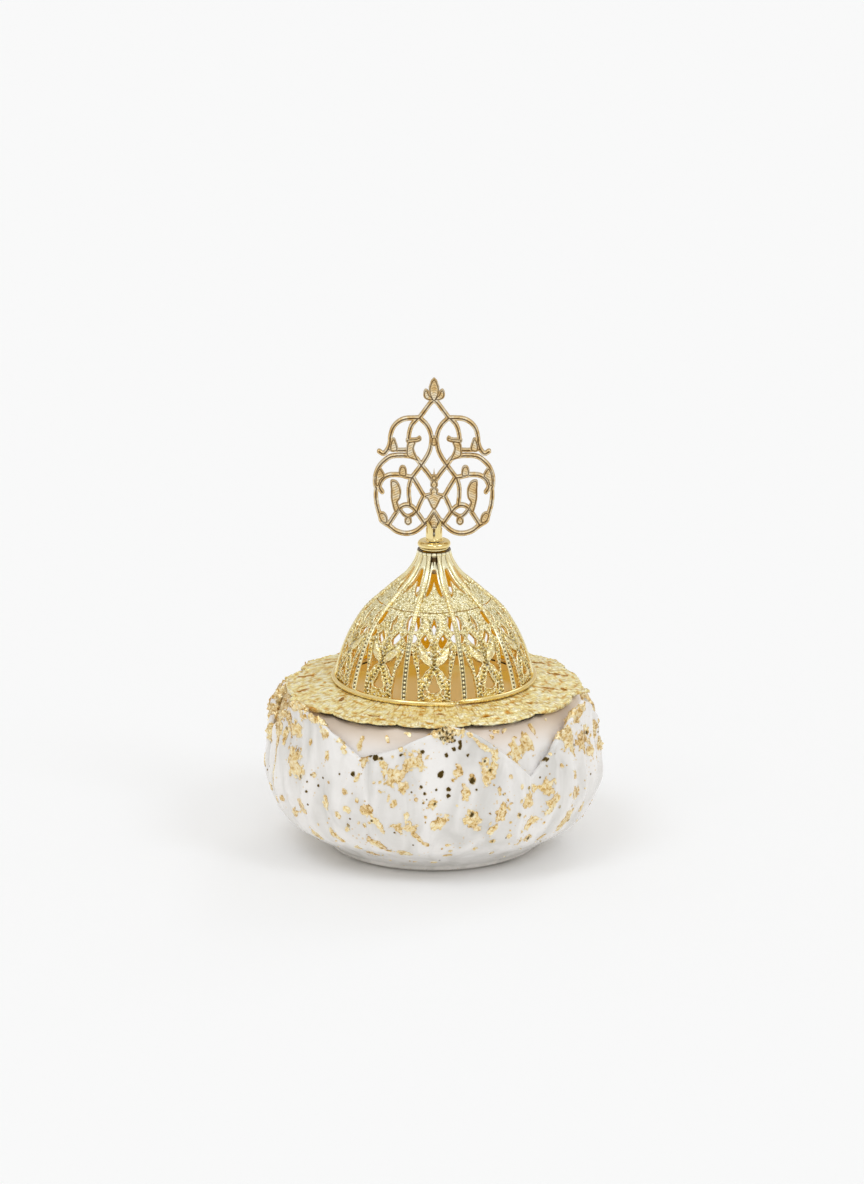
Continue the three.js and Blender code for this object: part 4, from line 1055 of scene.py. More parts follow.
# Slots in the plate: angle to the right of the front and radius of the middle, length, width, and how far the
# slot turns from the radial direction, in millimetres and degrees
SLOTS = (
    (-98.6, 50.0, 7.5, 2.0, 8), (-78.0, 51.8, 5.0, 1.6, 0), (-53.0, 44.8, 3.6, 1.6, 30),
    (-122.0, 47.0, 7.0, 1.9, 30), (121.0, 46.5, 7.5, 2.2, -30), (100.5, 48.5, 8.5, 2.0, -8),
    (76.0, 46.0, 7.0, 1.6, 12), (79.0, 51.2, 2.8, 1.8, 0), (-28.0, 51.0, 7.0, 0.8, 88),
    (24.0, 50.5, 6.0, 0.7, 92), (2.0, 46.0, 5.0, 0.6, 90), (52.0, 48.0, 5.0, 0.8, 50),
    (-148.0, 49.0, 7.0, 1.1, 55), (148.0, 49.0, 7.0, 1.1, -55), (176.0, 48.0, 7.0, 1.1, 88),
)
# Where the leaf hangs over the plate's edge or is torn out of it: angle to the right of the front, spread and
# reach
TORN_CORNERS = (
    (84, 6, 3.4), (-72, 9, 2.0), (-100, 5, 2.6), (-110, 4, -2.4), (-124, 4.5, 2.6),
    (104, 4, 0.6), (113, 4, -2.0), (125, 4, 1.8),
)


def build_plate(settings):
    """The plate as one sheet round the dome's foot, with lobes, torn corners, slots and crumpled leaf."""
    seat, plate_top = RING_HIGH[1], PLATE_HIGH[2]
    outer = PLATE_HIGH[0] / math.cos(math.radians(WIDEST_TURN))
    fall = plate_top - PLATE_LOW[2] - PLATE_THICKNESS
    us = np.arange(720) * FULL_TURN / 720
    vs = np.arange(PLATE_HOLE - 0.6, outer + 5.0, PLATE_STEP)
    turn, radius = np.meshgrid(us, vs, indexing="ij")
    signed = turned_away(turn)
    spaced = turn - NOTCH_SHIFT * np.sign(signed) * bump(np.abs(signed) - NOTCH_PLACE, NOTCH_SPREAD)
    lobe = (spaced / (FULL_TURN / settings.lobes) + 0.5) % 1

    def place(u, v, out):
        return around(v, u, plate_top - np.maximum(0, v - seat) * fall / (outer - seat) + out)

    places = place(turn, radius, 0)
    crumple, ragged = noise_grid(places, 3.0, 4, 2.2), noise_grid(places, 1.3, 3, 5.5)
    # Scallops lie across the plate as a leaf frieze would, drawn out along the rim.
    frieze = noise_grid(np.stack([turn / 5.5, radius / 1.9, 0 * turn], axis=-1), 1.0, 2, 3.3)
    edge = outer - LOBE_DEPTH * (1 - np.sin(lobe * math.pi) ** 0.45) + 0.45 * crumple + 0.15 * ragged
    for torn_turn, spread, reach in TORN_CORNERS:
        edge = edge + reach * bump(turned_away(turn, torn_turn), spread) * (0.9 + 0.8 * ragged)
    field = np.maximum(radius - edge, PLATE_HOLE - radius)
    deep = np.zeros(turn.shape)
    for slot_turn, slot_radius, length, width, lean in SLOTS:
        x = np.radians(turned_away(turn, slot_turn)) * slot_radius
        beside, along = (np.abs(part) for part in leaning(x, radius - slot_radius, lean))
        along = along / (length / 2)
        bow = (width / 2) * np.sqrt(np.clip(1 - along**2, 0, 1)) - np.maximum(along - 1, 0) * 4
        slot = np.where(along < 1.4, bow - (beside + 0.3 * crumple), -2.0)
        field = np.maximum(field, slot + 0.15 * ragged)
        # Painted shade round the slot's edge
        deep = np.maximum(deep, bump(np.minimum(slot, 0), 0.45))
    rolled = 0.45 * bump(edge - radius - 0.7, 0.9)
    face = 0.5 * np.abs(crumple) + 0.2 * np.clip(frieze + 0.2, 0, 1) + 0.1 * ragged + rolled
    face *= ease(radius, seat - 1.8, seat + 0.8)
    back = -PLATE_THICKNESS * (1 - 0.45 * ease(radius, edge - 6, edge))
    # Painted shade lies in the folds and round the slots.
    plate = pierced_sheet(
        "lobed_plate", us, vs, field, face, back, place, FULL_TURN,
        deep=np.clip(0.8 * deep + 2.6 * np.clip(-frieze - 0.3, 0, 1) + 0.4 * bump(crumple, 0.03), 0, 1),
        tone=np.clip(0.52 + 0.9 * frieze + 0.35 * ragged, 0, 1),
    )
    finish(plate, "lid", crumpled_gilding, "lid_plate")


# The dome

DOME_WALL = 1.2
# The dome's outside: shares of its radius and of its height
DOME_SHARES = (
    (1.0, 0.0), (0.985, 0.08), (0.945, 0.184), (0.893, 0.29), (0.822, 0.4), (0.712, 0.526),
    (0.565, 0.632), (0.416, 0.725), (0.278, 0.815), (0.188, 0.912), (0.148, 1.0),
)
DOME_RADIUS = LOWER_HIGH[1]
DOME_BASE = RING_LOW[2]
DOME_TOP = UPPER_HIGH[2]
SEAM = LOWER_HIGH[2] - 2.0


def dome_line():
    """Height, radius, outward slope and distance along the surface, up the dome's outside."""
    shares = smooth_line(DOME_SHARES, per_span=16)
    radius = shares[:, 0] * DOME_RADIUS
    height = DOME_BASE + shares[:, 1] * (DOME_TOP - DOME_BASE)
    steps = np.hypot(np.diff(radius), np.diff(height))
    return height, radius, np.gradient(radius, height), np.concatenate([[0], np.cumsum(steps)])


def dome_place(degrees, height, out):
    """Points at an angle and height on the dome, moved outwards along its surface normal."""
    heights, radii, leans, _ = dome_line()
    lean = np.interp(height, heights, leans)
    length = np.hypot(1, lean)
    return around(np.interp(height, heights, radii) + out / length, degrees, height - out * lean / length)


def dome_flat(degrees, height):
    """The same place on a sheet laid flat: across and along the surface, in millimetres."""
    heights, radii, _, along = dome_line()
    return np.radians(degrees) * np.interp(height, heights, radii), np.interp(height, heights, along)


# Openings and ornaments of a lower panel: shares of half a panel's turn, and of the lower shell's height
TEAR_SHARES = (
    (0, 0.35), (-0.1, 0.26), (-0.19, 0.195), (-0.17, 0.165), (0, 0.145), (0.17, 0.165), (0.19, 0.195),
    (0.1, 0.26),
)
SHOULDER_SHARES = (
    (0.54, 0.53), (0.36, 0.48), (0.16, 0.44), (0.3, 0.395), (0.41, 0.33), (0.5, 0.31), (0.52, 0.42),
)
DIAMOND_SHARES = (
    (0.41, 0.795), (0.28, 0.755), (0.18, 0.71), (0.22, 0.67), (0.31, 0.645), (0.43, 0.68), (0.56, 0.735),
    (0.48, 0.77),
)
LENS_SHARES = ((0, 0.96), (-0.1, 0.9), (-0.1, 0.86), (0, 0.79), (0.1, 0.86), (0.1, 0.9))
SPOT_SHARES = ((0.3, 0.185), (0.255, 0.155), (0.29, 0.115), (0.34, 0.15))
WINDOW_SHARES = (
    (1.2, 0.97), (0.72, 0.97), (0.67, 0.93), (0.67, 0.88), (0.75, 0.83), (0.93, 0.815), (0.93, 0.8),
    (0.8, 0.785), (0.7, 0.745), (0.8, 0.7), (0.93, 0.685), (0.93, 0.625), (0.86, 0.6), (0.8, 0.53),
    (0.73, 0.46), (0.64, 0.39), (0.59, 0.3), (0.565, 0.2), (0.555, 0.045), (1.2, 0.045),
)
BORDER_SHARES = (
    (0.495, 0.05), (0.505, 0.2), (0.53, 0.3), (0.58, 0.4), (0.67, 0.48), (0.73, 0.55), (0.76, 0.64),
    (0.7, 0.69), (0.63, 0.75), (0.6, 0.82), (0.59, 0.88), (0.6, 0.96),
)
LOZENGE_SHARES = ((0, 0.43), (0.1, 0.375), (0.22, 0.29), (0.35, 0.205), (0.42, 0.12), (0.36, 0.07))
LEAF_SHARES = (
    (0.06, 0.455), (0.28, 0.475), (0.5, 0.53), (0.62, 0.62), (0.6, 0.67), (0.42, 0.625), (0.22, 0.575),
    (0.08, 0.53),
)
COLUMN_SHARES = ((0.0, 0.4), (0.0, 0.77))
SIDE_COLUMN_SHARES = ((0.065, 0.42), (0.075, 0.56), (0.05, 0.7))
PETAL_LINE_SHARES = ((0.0, 0.775), (0.16, 0.84), (0.2, 0.93))
PANEL_COLUMNS = 92
PANEL_ROWS = 150


def flat_outline(shares, half_panel, low, high, closed=True, rounded=True):
    """An outline or line given in shares, on the sheet laid flat."""
    points = smooth_line(shares, closed, per_span=5) if rounded else np.array(shares, float)
    return np.stack(dome_flat(points[:, 0] * half_panel, low + points[:, 1] * (high - low)), axis=1)


def panel_fields(settings):
    """The grid, field, relief and tones of one lower panel."""
    half_panel = HALF_TURN / settings.panels
    low, high = DOME_BASE, SEAM
    us = np.linspace(-half_panel, half_panel, PANEL_COLUMNS)
    vs = np.linspace(low - 0.15, high + 0.25, PANEL_ROWS)
    turn, height = np.meshgrid(us, vs, indexing="ij")
    x, y = dome_flat(turn, height)
    side = np.abs(x)
    outline = partial(flat_outline, half_panel=half_panel, low=low, high=high)
    nearest = np.minimum.reduce([
        area_field(x, y, outline(TEAR_SHARES)), area_field(x, y, outline(LENS_SHARES)),
        area_field(side, y, outline(SHOULDER_SHARES)), area_field(side, y, outline(DIAMOND_SHARES)),
        area_field(side, y, outline(SPOT_SHARES)), area_field(side, y, outline(WINDOW_SHARES, rounded=False)),
    ])
    panel_edge, _ = dome_flat(np.full(turn.shape, half_panel), height)
    beyond = np.maximum(side - panel_edge + 0.06, np.maximum(vs[1] - height, height - vs[-2]) + 0.01)
    # Painted shade lies between the beads of each row and round the raised leaves.
    beads, deep = np.zeros(turn.shape), np.zeros(turn.shape)
    for shares, across, pitch, size in (
        (BORDER_SHARES, side, 1.45, 0.58), (LOZENGE_SHARES, side, 1.3, 0.5), (COLUMN_SHARES, x, 1.3, 0.45),
        (SIDE_COLUMN_SHARES, side, 1.3, 0.45), (PETAL_LINE_SHARES, side, 1.3, 0.45),
    ):
        line = outline(shares, closed=False)
        row = bead_field(across, y, line, pitch, size)
        beads = np.maximum(beads, row)
        deep = np.maximum(deep, bump(line_distance(across, y, line), 0.75) * ease(-row, -0.16, -0.02))

    def rises(start, end=1.0):
        """Rises from zero to one between two shares of the panel's height."""
        return ease(height, low + start * (high - low), low + end * (high - low))

    leaf = area_field(side, y, outline(LEAF_SHARES))
    plain = np.maximum(0.5 * ease(-leaf, 0.0, 0.35), bump(nearest - 0.3, 0.4))
    deep *= 0.95 - 0.5 * rises(0.35, 0.75)
    deep = np.maximum(deep, 0.5 * bump(leaf - 0.3, 0.35)) * (1 - ease(-leaf, 0.0, 0.3)) * (nearest > 0.2)
    grain = 0.12 * noise_grid(np.stack([x, y, 0 * x], axis=-1), 0.8, 2, 6.0)
    face = np.maximum(beads + 0.05, 0.32 * bump(nearest - 0.35, 0.42))
    face = face + 0.55 * np.sqrt(np.clip(-leaf / 1.1, 0, 1)) + grain * (1 - plain)
    worn = 0.25 + 0.75 * rises(0.55)
    return us, vs, np.maximum(-nearest, beyond), face, {"plain": plain, "deep": deep, "worn": worn}


def build_panels(settings):
    """Panels of one pattern, each turned to its place in the dome."""
    us, vs, field, face, tones = panel_fields(settings)
    back = np.full(field.shape, -DOME_WALL)
    for panel in range(settings.panels):

        def place(u, v, out, middle=panel * FULL_TURN / settings.panels):
            return dome_place(u + middle, v, out)

        piece = pierced_sheet(f"filigree_panel_{panel + 1:02d}", us, vs, field, face, back, place, **tones)
        finish(piece, "lid", granulated_gilding, "dome_lower_shell")


# The neck's window in one panel: its right half, in shares of half a panel's turn and of the neck's height
NECK_WINDOW_SHARES = (
    (0, 0.7), (0.28, 0.685), (0.4, 0.63), (0.46, 0.52), (0.56, 0.4), (0.7, 0.27), (0.68, 0.225), (0.5, 0.25),
    (0.32, 0.31), (0.16, 0.39), (0, 0.475),
)
NECK_POINT_SHARES = ((0, 0.42), (0.2, 0.3), (0.45, 0.2), (0.8, 0.13))


def build_neck(settings):
    """The flaring neck in one piece, with a window in each panel."""
    half_panel = HALF_TURN / settings.panels
    low, high = SEAM + 0.3, DOME_TOP
    us = np.arange(0, FULL_TURN, 0.75)
    vs = np.linspace(low - 0.3, high + 0.3, 84)
    turn, height = np.meshgrid(us, vs, indexing="ij")
    local = (turn + half_panel) % (2 * half_panel) - half_panel
    x, y = dome_flat(local, height)
    side = np.abs(x)
    share = (height - low) / (high - low)
    outline = partial(flat_outline, half_panel=half_panel, low=low, high=high)
    window = area_field(x, y, outline(with_mirror(NECK_WINDOW_SHARES), rounded=False))
    field = np.maximum(-window, np.maximum(low - height, height - high))
    plain = ease(height, low + 0.32 * (high - low), low + 0.5 * (high - low))
    rim = 0.38 * bump(window - 0.45, 0.5) * (1 - 0.6 * plain)
    beads = bead_field(side, y, outline(NECK_POINT_SHARES, closed=False), 1.0, 0.42) * (1 - plain)
    grain = 0.2 * noise_grid(np.stack([turn / 1.6, y, 0 * x], axis=-1), 0.9, 2, 8.0) * (1 - plain)
    face = np.maximum(rim, beads) + grain + 0.35 * bump(height - low - 0.3, 0.5)
    # Painted shade: dark lines run beside the straps, the space between them under the collar is painted as a
    # dark arch, and a painted shadow line runs just under the collar.
    beside = dome_flat(np.full(turn.shape, half_panel), height)[0] - side
    flute = bump(beside - 0.95, 0.28) * ease(share, 0.3, 0.5)
    to_front = np.abs((turn + 90) % HALF_TURN - 90) < half_panel
    arch = to_front * ease(beside, 0.5, 0.7) * ease(share, 0.66, 0.84) * (1 - ease(share, 0.9, 0.94))
    streaks = 0.6 + 0.6 * np.sin(2 * math.pi * (local / half_panel + 0.25) * 2)
    groove = 1 - ease(high - height, 0.2, 0.45)
    deep = np.clip(0.9 * flute + arch * np.where(share > 0.82, 1.0, streaks) + groove, 0, 1)
    # A ring closes the straps under the collar.
    face = face - 0.35 * arch - 0.25 * flute + 0.85 * ease(share, 0.92, 0.95)
    neck = pierced_sheet(
        "flared_neck", us, vs, field, face, np.full(field.shape, -DOME_WALL), dome_place, FULL_TURN,
        plain=plain, deep=deep, worn=np.ones(deep.shape),
    )
    finish(neck, "lid", granulated_gilding, "dome_upper_shell")


STRAP_FOOT_WIDTH = 2.1
STRAP_NECK_WIDTH = 1.9
STRAP_BEAD_PITCH = 1.5
STRAP_BEAD_RADIUS = 0.52
# Share of a strap's length at which its beads end
STRAP_BEADS_END = 0.5


def build_ribs(settings):
    """Straps with a bead row between two fine rims, running plain over the neck."""
    line_height, line_radius, _, line_along = dome_line()
    start, end = np.interp([RING_HIGH[2] - 0.2, DOME_TOP - 0.3], line_height, line_along)
    across = np.linspace(-1.25, 1.25, 21)
    along = np.linspace(start - 0.1, end + 0.1, 300)
    x, y = np.meshgrid(across, along, indexing="ij")
    share = (y - start) / (end - start)
    width = STRAP_FOOT_WIDTH + (STRAP_NECK_WIDTH - STRAP_FOOT_WIDTH) * share
    half = width / 2 - 0.3 * ease(share, 0.8, 0.95)
    inward = half - np.abs(x)
    field = np.maximum(-inward, np.maximum(start - y, y - end))
    line = np.array([[0.0, start + 0.5], [0.0, start + STRAP_BEADS_END * (end - start)]])
    beads = bead_field(x, y, line, STRAP_BEAD_PITCH, STRAP_BEAD_RADIUS)
    plain_part = ease(share, STRAP_BEADS_END - 0.04, STRAP_BEADS_END + 0.03)
    rims = 0.45 * bump(inward - 0.22, 0.26)
    crown = 0.6 * np.sqrt(np.clip(1 - (x / half) ** 2, 0, 1))
    face = 0.4 - 0.25 * ease(share, 0.7, 1.0)
    face = face + np.maximum(rims, beads) * (1 - plain_part) + crown * plain_part
    # Painted shade lies in the channel between the rims and the beads.
    channel = ease(inward, 0.32, 0.45) * ease(-beads, -0.2, -0.02) * (1 - plain_part)
    tones = {
        "plain": 1 - 0.6 * ease(share, 0.35, 0.5) * (1 - ease(share, 0.72, 0.85)),
        "deep": channel * (0.9 - 0.5 * ease(share, 0.2, STRAP_BEADS_END)),
        "worn": np.full(x.shape, 0.4),
    }
    for rib in range(settings.panels):

        def place(u, v, out, middle=(rib + 0.5) * FULL_TURN / settings.panels):
            height = np.interp(v, line_along, line_height)
            radius = np.interp(height, line_height, line_radius)
            return dome_place(middle + np.degrees(u / np.maximum(radius, 1)), height, out)

        name = f"beaded_strap_{rib + 1:02d}"
        piece = pierced_sheet(name, across, along, field, face, np.full(x.shape, 0.05), place, **tones)
        finish(piece, "lid", granulated_gilding, f"beaded_rib_{rib + 1}")


# The wire ring, collar, socket and finial

RING_WIRE = 1.0
RING_OVERLAP = 0.55
# Where the ring is split, to the right of the front, and how wide, in degrees
RING_SPLIT = 13.5
RING_GAP = 3.4
RING_STEPS = 260
RING_SIDES = 16


def build_ring():
    """A wire bent into a ring. Its left end stands a little lower and further out than its right end."""
    radius = (RING_HIGH[1] - RING_LOW[1]) / 2 - RING_WIRE + 0.25
    start = RING_SPLIT + RING_GAP / 2
    turns = np.linspace(start, start + FULL_TURN - RING_GAP, RING_STEPS)[:, None]
    share = np.linspace(-1, 1, RING_STEPS)[:, None]
    away = RING_OVERLAP * np.abs(share) ** 12 * np.sign(share)
    # The wire's ends are rounded off.
    wire = RING_WIRE * np.minimum(1.0, (1 - np.abs(share)) * 90 + 0.45)
    a = 2 * math.pi * np.arange(RING_SIDES) / RING_SIDES
    heights = RING_LOW[2] + RING_WIRE - 0.6 * away + wire * np.sin(a)
    vertices = around(radius + away + wire * np.cos(a), turns, heights).reshape(-1, 3)
    ids = np.arange(len(vertices)).reshape(RING_STEPS, RING_SIDES)
    ring = new_object("wire_ring", vertices, quads(ids.T) + ids[[0, -1]].tolist())
    finish(ring, "lid", polished_gold, "base_ring")


def build_collar():
    """A turned bead on a narrower foot."""
    low, high, radius = COLLAR_LOW[2], COLLAR_HIGH[2], COLLAR_HIGH[1]
    bead = (high - low - 0.7) / 2
    waist = radius - 0.75
    profile = [
        (STUD_HOLE, low), (radius - 0.9, low), (waist, low + 0.2), (waist, low + 0.55),
        *arc(radius - bead, high - bead, bead, -62, 90, 14),
        (4.4, high), (4.1, high - 0.25), (STUD_HOLE, high - 0.25), (STUD_HOLE, low),
    ]
    finish(turned_by_spin("turned_collar", profile), "lid", polished_gold, "collar")


def prism(name, outline, half_depth):
    """A flat outline in X and Z, extruded along Y to both sides."""
    count = len(outline)
    vertices = [(x, y, z) for x, z in outline for y in (-half_depth, half_depth)]
    ids = np.arange(2 * count).reshape(count, 2)
    thing = new_object(name, vertices, quads(ids) + ids.T.tolist())
    edit_all(thing, face_outwards)
    return thing


# Right half of the socket's notch: half width, and depth below the socket's top, from its foot up
NOTCH = ((0.4, 8.0), (0.5, 5.4), (1.6, 3.4), (3.3, 1.4), (3.6, -2))


def build_socket():
    """A round post, split for the finial, with a V notch and a saw cut at the front and back."""
    low, high, radius = SOCKET_LOW[2], SOCKET_HIGH[2], SOCKET_HIGH[0]
    profile = [
        (0, low + 3.3), (STUD_HOLE, low + 3.3), (STUD_HOLE, low),
        (radius + 0.35, low), (radius + 0.3, low + 0.35), (radius, low + 0.8), (radius, high - 1.2),
        *arc(radius - 1.0, high - 1.2, 1.0, 15, 90, 5), (0, high - 0.2),
    ]
    post = turned_by_spin("finial_post", profile, 64)
    floor = low + 4.4
    slot = [(-6, floor), (6, floor), (6, high + 2), (-6, high + 2)]
    notch = [(half, high - depth) for half, depth in NOTCH]
    notch += [(-x, z) for x, z in reversed(notch)]
    thickness = (FINIAL_HIGH[1] - FINIAL_LOW[1]) / 2 + 0.3
    for cutter in (prism("slot", slot, thickness), prism("notch", notch, 8)):
        modify(post, "BOOLEAN", operation="DIFFERENCE", solver="EXACT", object=cutter)
        bpy.data.objects.remove(cutter)
    modify(post, "BEVEL", width=0.16 * MM, segments=2, limit_method="ANGLE")
    finish(post, "lid", polished_gold, "finial_socket", angle=40)


# Right half of the finial: shares of its half width and of its height along each strand's centre line
STRANDS = (
    ((0, 0.863), (0.064, 0.842), (0.155, 0.797), (0.245, 0.752)),
    ((0.245, 0.752), (0.446, 0.75), (0.576, 0.733), (0.677, 0.695), (0.725, 0.64), (0.733, 0.6),
     (0.771, 0.56), (0.837, 0.534), (0.91, 0.548)),
    ((0.235, 0.752), (0.125, 0.711), (0.06, 0.662), (0.044, 0.609), (0.084, 0.541), (0.205, 0.466),
     (0.365, 0.387)),
    ((0.27, 0.75), (0.365, 0.711), (0.41, 0.662), (0.424, 0.61)),
    ((0.215, 0.462), (0.285, 0.5), (0.386, 0.517), (0.546, 0.522), (0.707, 0.517), (0.817, 0.492),
     (0.918, 0.451), (0.972, 0.398), (0.978, 0.35), (0.958, 0.323)),
    ((0.365, 0.387), (0.446, 0.391), (0.566, 0.402), (0.727, 0.402), (0.837, 0.383), (0.892, 0.35),
     (0.905, 0.325), (0.86, 0.298)),
    ((0.958, 0.325), (0.966, 0.278), (0.948, 0.218), (0.895, 0.15), (0.87, 0.12), (0.747, 0.09)),
    ((0.747, 0.09), (0.626, 0.056), (0.466, 0.041), (0.315, 0.053), (0.185, 0.09), (0.13, 0.118)),
    ((0.757, 0.095), (0.647, 0.158), (0.556, 0.203), (0.456, 0.217), (0.355, 0.203), (0.265, 0.162),
     (0.165, 0.109)),
    ((0.375, 0.383), (0.415, 0.331), (0.418, 0.278), (0.4, 0.215)),
    ((0.215, 0.462), (0.114, 0.417), (0.03, 0.372)),
    ((0.35, 0.385), (0.255, 0.327), (0.169, 0.274), (0.12, 0.272)),
    ((0.169, 0.276), (0.245, 0.218), (0.285, 0.178)),
    ((0.0, 0.178), (0.09, 0.128), (0.15, 0.1)),
)
THIN_STRANDS = (
    ((0.757, 0.562), (0.586, 0.555), (0.4, 0.558)),
    ((0.58, 0.196), (0.5, 0.158), (0.43, 0.148), (0.36, 0.158), (0.29, 0.178)),
)
LEAVES = (
    ((0.0, 0.862), (0.09, 0.862), (0.165, 0.878), (0.18, 0.908), (0.145, 0.93), (0.1, 0.922), (0.075, 0.9),
     (0.03, 0.885)),
    ((0.73, 0.55), (0.6, 0.553), (0.62, 0.6), (0.66, 0.63), (0.72, 0.61)),
    ((0.46, 0.625), (0.3, 0.63), (0.24, 0.642), (0.205, 0.622), (0.26, 0.606), (0.44, 0.6)),
    ((0.42, 0.61), (0.3, 0.61), (0.33, 0.564), (0.28, 0.515), (0.19, 0.47), (0.3, 0.492), (0.45, 0.518),
     (0.46, 0.575)),
    ((0.97, 0.41), (0.9, 0.45), (0.81, 0.398), (0.878, 0.372), (0.915, 0.335), (0.98, 0.34)),
    ((0.58, 0.4), (0.585, 0.435), (0.55, 0.458), (0.49, 0.458), (0.455, 0.435), (0.46, 0.395)),
    ((0.72, 0.368), (0.61, 0.362), (0.545, 0.312), (0.555, 0.263), (0.6, 0.235), (0.57, 0.2), (0.65, 0.17),
     (0.715, 0.25), (0.72, 0.31)),
    ((0.93, 0.16), (0.85, 0.175), (0.78, 0.15), (0.77, 0.108), (0.87, 0.112)),
    ((0.43, 0.155), (0.375, 0.135), (0.37, 0.108), (0.43, 0.093), (0.49, 0.108), (0.485, 0.135)),
)
# Pieces on the middle line, as their right half from the top down
CENTRES = (
    ((0, 1), (0.05, 0.982), (0.09, 0.94), (0.085, 0.9), (0.04, 0.865), (0, 0.85)),
    ((0, 0.64), (0.05, 0.635), (0.06, 0.585), (0, 0.58)),
    ((0, 0.445), (0.014, 0.405), (0.055, 0.395), (0.055, 0.378), (0.03, 0.372), (0.065, 0.35), (0.065, 0.335),
     (0.035, 0.325), (0.075, 0.308), (0.06, 0.292), (0.17, 0.28), (0.17, 0.266), (0.12, 0.258), (0.05, 0.205),
     (0, 0.178)),
    ((0, 0.185), (0.1, 0.118), (0.075, 0.1), (0.075, 0.075), (0, 0.075)),
)
TANG_HALF = 1.95
# Shares of the finial's height up to which its tang and the line down its middle reach
TANG_TOP = 0.09
MIDDLE_LINE_TOP = 0.075
FINIAL_HALF_WIDTH = 23.3
FINIAL_COLUMNS = 118
FINIAL_ROWS = 330


def build_finial(settings):
    """A flat casting of strands and leaves, the same on both sides of its middle line, front and back."""
    base = COLLAR_HIGH[2]
    full_height = FINIAL_HIGH[2] - base
    us = np.linspace(-0.4, FINIAL_HALF_WIDTH + 1.1, FINIAL_COLUMNS)
    vs = np.linspace(FINIAL_LOW[2] - 0.4, FINIAL_HIGH[2] + 0.4, FINIAL_ROWS)
    x, z = np.meshgrid(us, vs, indexing="ij")

    def scaled(shares):
        return np.array(shares, float) * np.array([FINIAL_HALF_WIDTH, full_height]) + np.array([0, base])

    strand_half = settings.strand_width / MM / 2
    wide, thin = (
        np.minimum.reduce([line_distance(x, z, smooth_line(scaled(shares), per_span=5)) for shares in group])
        for group in (STRANDS, THIN_STRANDS)
    )
    nearest_line = np.minimum(wide, thin)
    outlines = [smooth_line(scaled(shares), closed=True, per_span=4) for shares in LEAVES]
    outlines += [scaled(with_mirror(shares)) for shares in CENTRES]
    leaf = np.minimum.reduce([area_field(x, z, outline) for outline in outlines])
    tang = np.maximum(
        np.abs(x) - TANG_HALF, np.maximum(FINIAL_LOW[2] - z, z - base - TANG_TOP * full_height)
    )
    field = np.minimum.reduce([wide - strand_half, thin - 0.8 * strand_half, leaf, tang])
    # A dark line is engraved along each strand and inside each leaf, and the leaves are hatched.
    hatch = 0.5 + 0.5 * np.sin(2 * math.pi * (z * 0.75 + np.abs(x) * 0.35) / 0.75)
    engraved = np.maximum.reduce([
        0.85 * ease(0.33 - np.abs(nearest_line - 0.06), 0, 0.14) * (leaf > -0.1),
        bump(leaf + 0.5, 0.36),
        0.45 * bump(field + 0.05, 0.3),
        bump(x, 0.45) * (z < base + MIDDLE_LINE_TOP * full_height),
        0.5 * hatch * ease(-leaf, 0.75, 1.1),
    ])
    half_thickness = (FINIAL_HIGH[1] - FINIAL_LOW[1]) / 2 - 0.1
    relief = 0.38 * np.sqrt(np.clip(-field / strand_half, 0, 1)) - 0.3 * engraved

    def both(layer, sign=1):
        """The right half of a layer, with its mirror image before it."""
        right = layer[us > 0]
        return np.concatenate([sign * right[::-1], right])

    def place(u, v, out):
        return np.stack([u, -out, v], axis=-1)

    finial = pierced_sheet(
        "openwork_finial", both(us, -1), vs, both(field), both(half_thickness + relief),
        both(-half_thickness - relief), place, engraved=both(engraved),
    )
    finish(finial, "lid", antique_gold, "finial_plate")


def build_cup():
    """A spun cup on a hollow foot with a rolled rim."""
    base, rim, outer = CUP_LOW[2], CUP_HIGH[2], CUP_HIGH[1]
    floor = base + 2.0
    profile = [
        (0, floor - 0.2), (16.1, floor - 0.2), (16.1, base), (17.0, base), (17.3, floor - 0.5),
        *arc(19.5, floor + 1.6, 1.6, 200, 320, 6),
        (22.2, floor + 7), (23.8, floor + 13), (25.0, rim - 1.8),
        *arc(outer - 0.9, rim - 0.9, 0.9, -110, 150, 12),
        (24.0, rim - 2.6), (22.8, floor + 13.2), (21.2, floor + 7.2), (18.8, floor + 2.2),
        (14, floor + 0.9), (0, floor + 0.8),
    ]
    finish(turned_by_spin("spun_coal_cup", profile), "coal_cup", spun_brass, "coal_cup", angle=40)


def dress_hidden_pieces():
    """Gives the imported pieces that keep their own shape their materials."""
    for node, maker, slot in (
        ("locating_sleeve", polished_gold, "gilding"), ("finial_stud", zinc_plated_steel, "steel"),
        ("stud_washer", zinc_plated_steel, "steel"), ("stud_nut", zinc_plated_steel, "steel"),
    ):
        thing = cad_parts[node]
        thing.data.materials.clear()
        thing.data.materials.append(finish_of(maker))


# The stage

LAMP_COLOUR = "#ECF4FF"


def paper_sweep():
    """A matt pale sweep: white to the camera, and it keeps the burner's shadow."""
    material, node, _ = start_material("pale_paper_sweep")
    colour = bpy.context.scene.burner_stage.floor
    paper = node("BsdfPrincipled", {"Base Color": colour, "Roughness": 0.9, "Specular IOR Level": 0.1})
    node("OutputMaterial", {0: paper})
    return material


def sun_lamp(name, towards, spread, strength):
    """A broad, even lamp far away, given by the direction that it stands in and its width in degrees."""
    data = bpy.data.lights.new(name, "SUN")
    data.energy = strength
    data.angle = math.radians(spread)
    data.color = linear(LAMP_COLOUR)[:3]
    lamp = bpy.data.objects.new(name, data)
    bpy.context.scene.collection.objects.link(lamp)
    lamp.rotation_euler = Vector(towards).to_track_quat("Z", "Y").to_euler()


